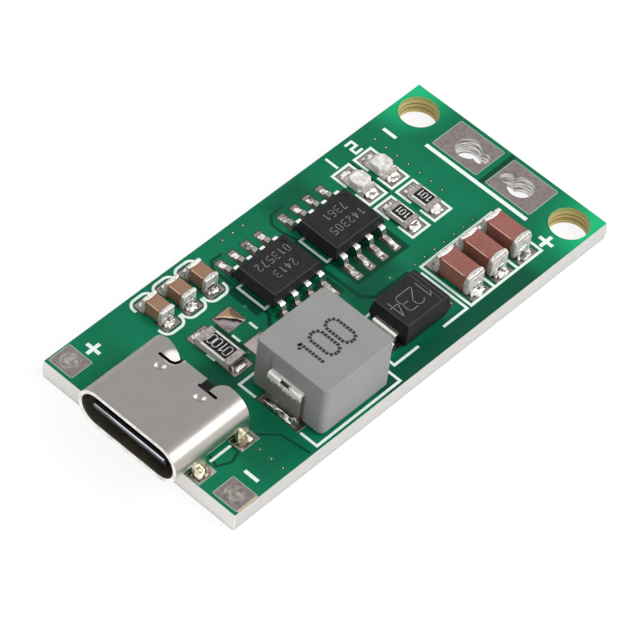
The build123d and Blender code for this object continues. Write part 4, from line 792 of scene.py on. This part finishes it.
class CHARGER_OT_board(bpy.types.Operator):
    """Finishes the laminate, the solder mask, the legend, the lands and the vias"""
    bl_idname = "charger.board"
    bl_label = "Board"

    def execute(self, context):
        mask = green_mask()
        dress(mask, "solder_mask_top", "solder_mask_bottom")
        dress(snapped_laminate(), "board_laminate")
        self.legend()
        tin = metal("tin_levelled_over_part_lands", "#9E948F", "#7A6F6B", 0.34, 0.4, 0.02)
        dress(tin, "component_lands")
        dress(wire_land(), *named("put_land"))
        tented = moulding("epoxy_mask_over_vias", "#0A5A3E", "#0E6B4A", 0.3, 0.2, 0.01, 0.15)
        dress(tented, "via_barrels")
        self.lips()
        self.bare_strip()
        self.hole_lips(mask)
        self.clearances()
        self.via_painted_glints()
        return {"FINISHED"}

    def legend(self):
        """The printed marks, laid on a little fatter than their screen."""
        bm = copied("legend_print")
        bmesh.ops.recalc_face_normals(bm, faces=bm.faces)
        bm.normal_update()
        for vert in bm.verts:
            flat = Vector((vert.normal.x, vert.normal.y, 0))
            if flat.length > 0:
                vert.co += flat.normalized() * 0.015 * MM
        ink = plain_print("white_epoxy_ink_screened", "#DCE9E4", 0.5, 0.15)
        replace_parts(finish("legend_marks", bm, ink, False), "legend_print")

    def lips(self):
        """The lip of the mask round each wire land, painted pale as the highlight along its edge."""
        bm = bmesh.new()
        for name in named("put_land"):
            low, high = plan_box(name)
            frame_bars(bm, low.x, low.y, high.x, high.y, width=0.05, thickness=0.01)
        finish("mask_lips", bm, plain_print("mask_lip_painted_highlight", "#9FB5A8", 0.45, 0.2),
               False)

    def hole_lips(self, mask):
        """The thin feathered edge of the mask that runs up to the rim of each mounting hole."""
        bm = bmesh.new()
        profile = [(1.475, -0.06), (1.475, -0.004), (1.5, 0.003), (1.6, 0.003), (1.6, -0.06)]
        for x, y in mount_holes():
            pour(turned(x, y, profile, 64, True), bm)
        finish("mask_hole_lips", bm, mask)

    def bare_strip(self):
        """The tan strip of bare laminate where the near input land's opening runs to the edge."""
        low, high = plan_box("input_land_negative")
        bm = bmesh.new()
        middle_y = 0.09
        bar(bm, (low.x + 0.1, middle_y), (high.x - 0.06, middle_y), width=0.17, thickness=0.008, z=-0.003)
        finish("bare_edge_strip", bm, plain_print("bare_epoxy_over_copper", "#C79F7C", 0.5, 0.2),
               False)

    def clearances(self):
        """The narrow ring of bare laminate between each part land and the mask, painted dark as shade."""
        bm = bmesh.new()
        for x, y, length, width in part_lands():
            frame_bars(bm, x - length / 2, y - width / 2, x + length / 2, y + width / 2,
                       width=0.07, thickness=0.004)
        shadow = plain_print("bare_laminate_in_shadow", "#062A1E", 0.6, 0.2)
        finish("mask_clearances", bm, shadow, False)

    def via_painted_glints(self):
        """The mouth of each via as a disc of painted shade, with a bead in its middle painted bright as a
        glint.
        """
        beads, mouths = bmesh.new(), bmesh.new()
        bead, mouth, mouth_low, mouth_deep = (0.06, 0.06, 0.04), 0.1 * MM, -0.02, 0.022
        for x, y in via_middles():
            bmesh.ops.create_uvsphere(beads, u_segments=10, v_segments=6,
                                      radius=1, matrix=placed(x, y, -0.01, *bead))
            bmesh.ops.create_cone(mouths, cap_ends=True, segments=12, radius1=mouth, radius2=mouth,
                                  depth=mouth_deep * MM,
                                  matrix=Matrix.Translation(at(x, y, mouth_low + mouth_deep / 2)))
        finish("via_painted_glints", beads,
               metal("via_painted_glint", "#E6E6E2", "#3F4A44", 0.25, 0.3, 0.02, 0.44))
        shadow = plain_print("via_mouth_in_shadow", "#05281C", 0.6, 0.2)
        finish("via_mouths", mouths, shadow, False)


class CHARGER_OT_socket(bpy.types.Operator):
    """Finishes the socket's jacket, tongue and contacts"""
    bl_idname = "charger.socket"
    bl_label = "Type-C socket"

    def execute(self, context):
        dress(satin_jacket(), "socket_jacket")
        dress(metal("stainless_tongue_plate", "#9A9AA6", "#6E6E78", 0.25, 0.6, 0.005), "socket_mid_plate")
        black = moulding("liquid_crystal_polymer_black", "#0C0C0E", "#141418", 0.4, 0.12, 0.006, 0.15)
        dress(black, "socket_insulator")
        dress(metal("gold_flashed_bronze", "#D8B36A", "#A88545", 0.25, 0.3, 0.004), *named("contacts"))
        self.tongue_edge()
        self.rim()
        return {"FINISHED"}

    def tongue_edge(self):
        """The rounded edge along the tip of the tongue, with a painted highlight above and painted shade
        below.
        """
        low, high = plan_box("socket_mid_plate")
        middle = (low.x - 0.25, (low.y + high.y) / 2, (low.z + high.z) / 2 + 0.175)
        lying = Matrix.Rotation(math.radians(90), 4, "X")
        bm = bmesh.new()
        bmesh.ops.create_cone(bm, cap_ends=True, segments=20, radius1=1, radius2=1, depth=1,
                              matrix=placed(*middle, 0.06, high.y - low.y - 0.3, 0.18) @ lying)
        finish("tongue_edge", bm, tongue_painted_light())

    def rim(self):
        """The front edge of the jacket, all round the mouth, painted near white as a highlight."""
        bm = copied("socket_jacket")
        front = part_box("socket_jacket")[0].x
        rest = [face for face in bm.faces if face.calc_center_median().x > front + 0.06 * MM]
        bmesh.ops.delete(bm, geom=rest, context="FACES")
        bm.normal_update()
        for vert in bm.verts:
            vert.co += vert.normal * 0.003 * MM
            vert.co.x = max(vert.co.x, front)
        bmesh.ops.solidify(bm, geom=bm.faces[:], thickness=-0.002 * MM)
        finish("mouth_rim", bm,
               metal("jacket_edge_painted_highlight", "#FBF8F6", "#D8D2CE", 0.3, 0.8, 0.004))


class CHARGER_OT_inductor(bpy.types.Operator):
    """Finishes the inductor and prints its dotted digits"""
    bl_idname = "charger.inductor"
    bl_label = "Inductor"

    def execute(self, context):
        dress(painted_powder(), "inductor_core")
        dress(bend_with_painted_light("tinned_copper_strap", 0.0, 2.78, "#4A4642", "#8B8682", "#FBFAF7", 0.42, 0.4),
              *STRAPS)
        self.fold_tin()
        self.dots(context.scene.charger_module.dot_size / MM)
        return {"FINISHED"}

    def dots(self, size):
        """Digits in rows of jetted dots, each a short bar across its stroke."""
        top = plan_box("inductor_core")[1].z
        digit_high, dot_pitch, half_run = 2.25, 0.27, 0.02
        lines = digit_lines("1", (10.0, 2.5), (1, 0), digit_high, 1.5)
        lines += digit_lines("00", (11.25, 2.5), (1, 0), digit_high, 1.52)
        bm = bmesh.new()
        for begin, end in lines:
            count = max(1, round((end - begin).length / dot_pitch))
            across = Vector((begin.y - end.y, end.x - begin.x)).normalized() * half_run
            for step in range(count):
                spot = begin.lerp(end, (step + 0.5) / count)
                bar(bm, spot - across, spot + across, size - 0.03, INK_HIGH, top)
        bmesh.ops.remove_doubles(bm, verts=bm.verts, dist=1e-9)
        ink = plain_print("black_ink_jetted", "#0C0C0C", 0.5, 0.1)
        finish("inductor_dots", bm, ink, False)

    def fold_tin(self):
        """The two thick runs of tin on the fold of each strap, either side of its notch, painted near white as
        highlights.
        """
        bm = bmesh.new()
        for side, x, low, high in both_ends(STRAPS):
            x -= side * 0.13
            middle = (low.y + high.y) / 2
            # each run lies 0.86 mm from the strap's middle and is 1.08 mm long
            for run in (-1, 1):
                lump = bmesh.new()
                bmesh.ops.create_uvsphere(lump, u_segments=18, v_segments=12, radius=1)
                for vert in lump.verts:
                    swell = 1 + 0.25 * noise.noise(vert.co * 1.4 + Vector((run, side, 3.0)))
                    vert.co = at(x + vert.co.x * 0.14 * swell, middle + run * 0.86 + vert.co.y * 0.54 * swell,
                                 high.z - 0.09 + vert.co.z * 0.13 * swell)
                pour(lump, bm)
        tin = metal("fold_tin_painted_highlight", "#FCFBF9", "#ECEBE8", 0.34, 0.6, 0.004, metallic=0.25)
        finish("strap_fold_tin", bm, tin)


class CHARGER_OT_chips(bpy.types.Operator):
    """Finishes the two chips and the diode, with their laser marks"""
    bl_idname = "charger.chips"
    bl_label = "Chips and diode"

    def execute(self, context):
        body = moulding("epoxy_moulding_compound", "#171619", "#28272A", 0.5, 0.09, 0.012, 0.14)
        dress(body, *CHIP_BODIES, "diode_body")
        tin = bend_with_painted_light("matte_tin_on_copper_leads", 0.05, 0.9, "#77716B", "#C2BDB7", "#F6F4F0", 0.28)
        dress(tin, *CHIP_LEADS, *DIODE_LEADS)
        self.marks(context.scene.charger_module.mark_line / MM)
        self.edges()
        return {"FINISHED"}

    def marks(self, line):
        """Two rows of digits on each chip, and four digits and a dark band's two lines on the diode."""
        bm = bmesh.new()
        height, spacing = 0.62, 0.54
        for name, rows in zip(CHIP_BODIES, (("2413", "013572"), ("142305", "7361"))):
            low, high = plan_box(name)
            middle = (low + high) / 2
            for text, away in zip(rows, (-0.2, 1.0)):
                begin = (middle.x + spacing / 2 * len(text), middle.y + away)
                print_digits(bm, text, begin, (-1, 0), height, spacing, line, LASER_HIGH, high.z)
        low, high = plan_box("diode_body")
        begin = (high.x - 0.75, (low.y + high.y) / 2 + 0.72)
        print_digits(bm, "1234", begin, (-1, 0), 1.5, 0.84, line, LASER_HIGH, high.z)
        # the band's lines lie beyond the slope of the diode's end
        slope, band, line_step, inset = 0.18, 0.62, 0.35, 0.3
        for step in range(2):
            x = high.x - slope - band + line_step * step
            bar(bm, (x, low.y + inset), (x, high.y - inset), width=0.04, thickness=0.006, z=high.z - 0.03)
        finish("laser_marks", bm, plain_print("laser_scorched_epoxy", "#79777C", 0.7, 0.08),
               False)

    def edges(self):
        """A pale line along the two top edges of each moulding that face the camera, a painted highlight."""
        bm = bmesh.new()
        for name in (*CHIP_BODIES, "diode_body"):
            node = NODES[name]
            spots = [(node.matrix_world @ vert.co - PLAN_CORNER) / MM for vert in node.data.vertices]
            top = max(spot.z for spot in spots)
            rim = [spot for spot in spots if spot.z > top - 0.01]
            left, near = min(spot.x for spot in rim), min(spot.y for spot in rim)
            right, far = max(spot.x for spot in rim), max(spot.y for spot in rim)
            for end in ((left, far), (right, near)):
                bar(bm, (left, near), end, width=0.035, thickness=0.004, z=top - 0.001)
        finish("moulding_edges", bm, plain_print("moulding_edge_painted_highlight", "#47464A", 0.5, 0.3),
               False)


class CHARGER_OT_capacitors(bpy.types.Operator):
    """Finishes both rows of chip capacitors"""
    bl_idname = "charger.capacitors"
    bl_label = "Capacitors"

    def execute(self, context):
        tan = moulding("fired_titanate_ceramic_tan", "#80604C", "#91725E", 0.36, 0.16, 0.006, 0.2)
        dress(tan, *named("input_capacitor", "ceramic"))
        red = moulding("fired_titanate_ceramic_maroon", "#7E4D44", "#915E55", 0.3, 0.16, 0.006, 0.2)
        dress(red, *named("output_capacitor", "ceramic"))
        caps = metal("fired_silver_tinned", "#EAE8E3", "#857E78", 0.42, 0.12, 0.05, 0.46, metallic=0.5)
        for name in named("capacitor", "caps"):
            self.dipped(name, caps)
        self.edge_lines()
        return {"FINISHED"}

    def dipped(self, name, material):
        """The dipped metal of both ends, a hair thicker than drawn, so that it covers the ceramic's
        corners."""
        bm = copied(name)
        bmesh.ops.recalc_face_normals(bm, faces=bm.faces)
        bm.normal_update()
        for vert in bm.verts:
            vert.co += vert.normal * 0.012 * MM
        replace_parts(finish(name.replace("caps", "ends"), bm, material), name)

    def edge_lines(self):
        """A pale line along the top of each ceramic block, a painted highlight."""
        bm = bmesh.new()
        for name in named("capacitor", "ceramic"):
            low, high = plan_box(name)
            band = 0.62 if "output" in name else 0.42
            x = low.x + 0.035
            bar(bm, (x, low.y + band), (x, high.y - band), width=0.045, thickness=0.006, z=high.z - 0.004)
        finish("ceramic_edge_lines", bm, plain_print("ceramic_edge_painted_highlight", "#D9B9A6", 0.4, 0.3),
               False)


class CHARGER_OT_resistors(bpy.types.Operator):
    """Finishes the resistors, with their printed digits"""
    bl_idname = "charger.resistors"
    bl_label = "Resistors"

    def execute(self, context):
        slab = moulding("alumina_slab", "#D0CDC7", "#E2DFDA", 0.45, 0.1, 0.01)
        dress(slab, *named("resistor", "slab"))
        coat = moulding("fired_glass_coat_black", "#131214", "#1C1A1C", 0.3, 0.2, 0.004, 0.12)
        dress(coat, *named("resistor", "coat"))
        ends = metal("tinned_nickel_ends", "#B5ADA8", "#8A807B", 0.32, 0.3, 0.02, metallic=0.85)
        dress(ends, *named("resistor", "ends"))
        self.digits()
        return {"FINISHED"}

    def digits(self):
        """The printed digits. stroke is what the last digit of a row adds to its length."""
        bm = bmesh.new()
        for name, text, height, stroke in (("sense_resistor_coat", "0100", 0.84, 0.4),
                                           ("lamp_resistor_1_coat", "101", 0.56, 0.475),
                                           ("lamp_resistor_2_coat", "101", 0.56, 0.475)):
            low, high = plan_box(name)
            middle = (low + high) / 2
            spacing = (high.y - low.y) * 0.94 / len(text)
            length = spacing * (len(text) - 1) + height * stroke
            begin = (middle.x + height / 2, middle.y - length / 2)
            print_digits(bm, text, begin, (0, 1), height, spacing, 0.06, INK_HIGH, high.z)
        finish("resistor_digits", bm, plain_print("white_ink_fired", "#E8E8E4", 0.4, 0.1),
               False)


class CHARGER_OT_lamps(bpy.types.Operator):
    """Finishes the two lamps"""
    bl_idname = "charger.lamps"
    bl_label = "Lamps"

    def execute(self, context):
        resin = milky_resin()
        for name in named("lamp", "lens"):
            self.lens(name, resin)
        dress(moulding("moulded_white_lamp_slab", "#C9C6C0", "#DEDCD8", 0.45, 0.1, 0.01, 0.2),
              *named("lamp", "base"))
        dress(metal("tin_over_nickel_lamp_ends", "#D2CDC4", "#6E6862", 0.3, 0.25, 0.03),
              "lamp_1_ends", "lamp_2_ends")
        return {"FINISHED"}

    def lens(self, name, resin):
        """A cast block with clipped corners, and the round well of the die under its top."""
        low, high = plan_box(name)
        bm = bmesh.new()
        bmesh.ops.create_cube(bm, size=1, matrix=placed(*(low + high) / 2, *(high - low)))
        round_off(bm, upright_edges(bm), 0.26, 1)
        top = max(bm.faces, key=lambda face: face.calc_center_median().z)
        round_off(bm, list(top.edges), 0.09, 3)
        top = max(bm.faces, key=lambda face: face.calc_center_median().z)
        bmesh.ops.inset_region(bm, faces=[top], thickness=0.16 * MM)
        bmesh.ops.inset_region(bm, faces=[top], thickness=0.05 * MM, depth=-0.03 * MM)
        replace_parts(finish(name.replace("lens", "block"), bm, resin, False), name)


# How far the solder of each kind of chip part reaches from the part's middle, and how high it
# climbs
JOINT_SIZES = {"output": (2.27, 0.75), "input": (1.6, 0.6), "sense": (2.27, 0.42), "lamp": (1.63, 0.36)}


class CHARGER_OT_solder(bpy.types.Operator):
    """Flows solder at every joint"""
    bl_idname = "charger.solder"
    bl_label = "Solder"

    def execute(self, context):
        bright = reflowed_solder("reflowed_tin_solder", "#F0EEEA", "#A39D97", 0.25)
        dress(metal("dull_hand_solder", "#A9A29C", "#736A66", 0.34, 0.5, 0.04), "input_hole_solder")
        self.in_input_holes()
        self.at_tabs()
        self.at_ends("capacitor_solder", named("capacitor", "caps"), bright, 1)
        self.at_ends("resistor_and_lamp_solder",
                     named("resistor", "ends") + ["lamp_1_ends", "lamp_2_ends"], bright, 40)
        self.at_leads(bright)
        self.at_straps(bright)
        self.at_diode(bright)
        dress(reworked_solder(), "spare_land_solder")
        return {"FINISHED"}

    def in_input_holes(self):
        """The dished face of the solder in each input hole, with its rim."""
        bm = bmesh.new()
        profile = [(0.745, 0.0), (0.7, -0.03), (0.6, -0.085), (0.48, -0.06), (0.36, -0.015), (0.2, -0.03),
                   (0.0, -0.045)]
        x, inset = INPUT_HOLE_IN
        for y in (inset, BOARD_WIDTH - inset):
            face = turned(x, y, profile, 36, False)
            for vert in face.verts:
                if (vert.co - at(x, y)).length / MM < 0.7:
                    vert.co.z += noise.noise(vert.co / MM * 3.0) * 0.03 * MM
            pour(face, bm)
        finish("input_hole_faces", bm,
               metal("dull_solder_face", "#B0AAA5", "#7C7470", 0.26, 0.4, 0.03))

    def at_tabs(self):
        """A lump of solder at each of the socket's tabs, and the fill of its slot."""
        material = reflowed_solder("hand_soldered_tin_flux_tinted", "#F1EBD8", "#A08F72", 0.22)
        low, high = plan_box("socket_jacket")
        bm = bmesh.new()
        seed = 200
        for x in (0.9, 4.95):
            for wall, side in ((low.y, -1), (high.y, 1)):
                seed += 1
                solder_dome(bm, x, wall + side * 0.12, half_x=0.6, half_y=0.5, height=0.52, seed=seed)
                plug = bmesh.new()
                slot = placed(x, wall - side * 0.15, -0.8, length=1.3, width=0.6, height=1.6)
                bmesh.ops.create_cube(plug, size=1, matrix=slot)
                round_off(plug, upright_edges(plug), 0.28, 4)
                pour(plug, bm)
        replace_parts(finish("socket_tab_lumps", bm, material), "socket_tab_solder")

    def at_ends(self, node, parts, material, seed):
        """Joints at both ends of chip parts that lie along y."""
        bm = bmesh.new()
        for number, name in enumerate(parts):
            low, high = plan_box(name)
            x, width = (low.x + high.x) / 2, high.x - low.x
            reach, rise = next(size for word, size in JOINT_SIZES.items() if word in name)
            run = reach - (high.y - low.y) / 2 - 0.04
            for side, y in ((-1, low.y), (1, high.y)):
                place = seed + number * 2 + side
                solder_lump(bm, (x, y), (0, side), run * 0.5, min(rise, high.z * 0.85), width * 0.8, place)
                solder_dome(bm, x, y + side * run * 0.5, width * 0.33, run * 0.42, rise * 0.42, place + 0.5)
        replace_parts(finish(node + "_joints", bm, material), node)

    def at_leads(self, material):
        """A joint at the toe of every chip lead."""
        bm = bmesh.new()
        seed = 80
        width = 0.42
        for name in CHIP_LEADS:
            low, high = plan_box(name)
            pitch = (high.x - low.x - width) / 3
            for place in range(4):
                for side, y in ((-1, low.y), (1, high.y)):
                    seed += 1
                    x = low.x + width / 2 + pitch * place
                    solder_lump(bm, (x, y), (0, side), run=0.62, rise=0.2, width=width * 1.15, seed=seed)
        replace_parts(finish("chip_solder_joints", bm, material), "chip_solder")

    def at_straps(self, material):
        """Two domes at the foot of each of the inductor's straps."""
        bm = bmesh.new()
        for side, x, low, high in both_ends(STRAPS):
            half_y = (high.y - low.y) * 0.46
            solder_dome(bm, x + side * 0.2, (low.y + high.y) / 2, 0.26, half_y, height=0.42, seed=120 + side)
            solder_dome(bm, x + side * 0.12, low.y + 0.2, half_x=0.2, half_y=0.4, height=0.6, seed=122 + side)
        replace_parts(finish("inductor_solder_joints", bm, material), "inductor_solder")

    def at_diode(self, material):
        """A joint at each of the diode's leads."""
        bm = bmesh.new()
        for side, x, low, high in both_ends(DIODE_LEADS):
            middle, width = (low.y + high.y) / 2, high.y - low.y
            solder_lump(bm, (x, middle), (side, 0), run=0.55, rise=0.85, width=width * 1.05, seed=130 + side)
        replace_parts(finish("diode_solder_joints", bm, material), "diode_solder")


# The lights stand this far from the origin, in metres
LIGHT_DISTANCE = 0.55

# The photograph's camera, fitted once: its angles in degrees, the plan point it looks at and its
# distance from that, both in millimetres.
AZIMUTH, ELEVATION, ROLL = 52.41, 49.85, 7.41
LOOKS_AT, CAMERA_DISTANCE = (16.054, 7.536, 0), 293.052


class CHARGER_OT_stage(bpy.types.Operator):
    """Sets the floor, the soft light and the camera at the photograph's angle"""
    bl_idname = "charger.stage"
    bl_label = "Stage"

    def execute(self, context):
        settings = context.scene.charger_module
        context.scene.view_settings.view_transform = "Standard"
        self.world(settings)
        self.floor()
        self.lights(settings)
        self.camera(settings)
        return {"FINISHED"}

    def seen(self, tree, *kinds):
        """1 for rays of the named kinds, 0 for others."""
        path = add(tree, "ShaderNodeLightPath")
        return furthest(tree, "MAXIMUM", [path.outputs["Is %s Ray" % kind] for kind in kinds])

    def world(self, settings):
        """An even room light that looks plain white itself."""
        world = bpy.data.worlds.new("white_studio")
        tree = bare_tree(world)
        room = add(tree, "ShaderNodeBackground", {"Color": (1, 1, 1, 1), "Strength": settings.room_light})
        white = add(tree, "ShaderNodeBackground", {"Color": (1, 1, 1, 1), "Strength": 1.0})
        seen = self.seen(tree, "Camera", "Glossy", "Transmission")
        mix = add(tree, "ShaderNodeMixShader", {0: seen, 1: room.outputs[0], 2: white.outputs[0]})
        add(tree, "ShaderNodeOutputWorld", {"Surface": mix.outputs[0]})
        bpy.context.scene.world = world

    def floor(self):
        """A pale floor that keeps a faint shadow under the board."""
        bm = bmesh.new()
        bmesh.ops.create_grid(bm, x_segments=4, y_segments=4, size=0.6,
                              matrix=Matrix.Translation((0, 0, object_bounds()[0][2] - 0.02 * MM)))
        mesh = bpy.data.meshes.new("floor")
        bm.to_mesh(mesh)
        bm.free()
        floor = bpy.data.objects.new("floor", mesh)
        bpy.context.scene.collection.objects.link(floor)
        material = bpy.data.materials.new("white_paper_sweep")
        tree = bare_tree(material)
        paper = add(tree, "ShaderNodeBsdfDiffuse", {"Color": (0.92, 0.92, 0.92, 1)})
        white = add(tree, "ShaderNodeEmission", {"Color": (1, 1, 1, 1), "Strength": 1.0})
        share = calc(tree, "MULTIPLY", self.seen(tree, "Camera", "Glossy"), 0.85)
        mix = add(tree, "ShaderNodeMixShader", {0: share, 1: paper.outputs[0], 2: white.outputs[0]})
        add(tree, "ShaderNodeOutputMaterial", {"Surface": mix.outputs[0]})
        mesh.materials.append(material)
        floor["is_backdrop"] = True

    def softbox(self, name, direction, width, height, power):
        """An area light that faces the origin."""
        light = bpy.data.lights.new(name, "AREA")
        light.shape = "RECTANGLE"
        light.size = width
        light.size_y = height
        light.energy = power
        lamp = bpy.data.objects.new(name, light)
        lamp.location = Vector(direction).normalized() * LIGHT_DISTANCE
        lamp.rotation_euler = (-lamp.location).to_track_quat("-Z", "Y").to_euler()
        bpy.context.scene.collection.objects.link(lamp)
        return lamp

    def lights(self, settings):
        """A soft key from the inductor's side, and a broad strip that only shows in metal."""
        key = self.softbox("key_softbox", (0.35, -0.7, 0.85), 0.4, 0.4, settings.key_power)
        key.visible_glossy = False
        strip = self.softbox("strip_softbox", (0.5, -0.75, 0.56), 0.45, 0.27, settings.strip_power)
        strip.visible_diffuse = False

    def camera(self, settings):
        """A long lens above the socket end, rolled a little, as the photograph was taken."""
        azimuth, elevation, roll = math.radians(AZIMUTH), math.radians(ELEVATION), math.radians(ROLL)
        forward = Vector((math.cos(elevation) * math.sin(azimuth), math.cos(elevation) * math.cos(azimuth),
                          -math.sin(elevation)))
        right = Vector((math.cos(azimuth), -math.sin(azimuth), 0))
        up = right.cross(forward)
        turned_right = math.cos(roll) * right + math.sin(roll) * up
        turned_up = -math.sin(roll) * right + math.cos(roll) * up
        data = bpy.data.cameras.new("camera")
        data.lens = settings.lens
        data.sensor_width = 36
        data.clip_start = 0.01
        data.clip_end = 5
        camera = bpy.data.objects.new("camera", data)
        basis = Matrix((turned_right, turned_up, -forward)).transposed().to_4x4()
        camera.matrix_world = Matrix.Translation(at(*LOOKS_AT) - forward * CAMERA_DISTANCE * MM) @ basis
        bpy.context.scene.collection.objects.link(camera)
        bpy.context.scene.camera = camera


OPERATORS = (CHARGER_OT_board, CHARGER_OT_socket, CHARGER_OT_inductor, CHARGER_OT_chips,
             CHARGER_OT_capacitors, CHARGER_OT_resistors, CHARGER_OT_lamps, CHARGER_OT_solder,
             CHARGER_OT_stage)


class CHARGER_PT_panel(bpy.types.Panel):
    """Lists the charger's sizes and colours and its pieces"""
    bl_idname = "CHARGER_PT_panel"
    bl_label = "Charger module"
    bl_space_type = "VIEW_3D"
    bl_region_type = "UI"
    bl_category = "Charger"

    def draw(self, context):
        settings = context.scene.charger_module
        for name in ("mask_light", "mask_dark", "mask_gap_and_shade", "mask_glow", "steel", "inductor", "dot_size",
                     "mark_line", "key_power", "strip_power", "room_light", "lens"):
            self.layout.prop(settings, name)
        for operator in OPERATORS:
            self.layout.operator(operator.bl_idname)


def register():
    bpy.utils.register_class(ChargerSettings)
    for operator in OPERATORS:
        bpy.utils.register_class(operator)
    bpy.utils.register_class(CHARGER_PT_panel)
    bpy.types.Scene.charger_module = PointerProperty(type=ChargerSettings)


def unregister():
    del bpy.types.Scene.charger_module
    bpy.utils.unregister_class(CHARGER_PT_panel)
    for operator in reversed(OPERATORS):
        bpy.utils.unregister_class(operator)
    bpy.utils.unregister_class(ChargerSettings)


def main():
    register()
    bpy.ops.charger.board()
    bpy.ops.charger.socket()
    bpy.ops.charger.inductor()
    bpy.ops.charger.chips()
    bpy.ops.charger.capacitors()
    bpy.ops.charger.resistors()
    bpy.ops.charger.lamps()
    bpy.ops.charger.solder()
    bpy.ops.charger.stage()


if __name__ == "__main__":
    main()
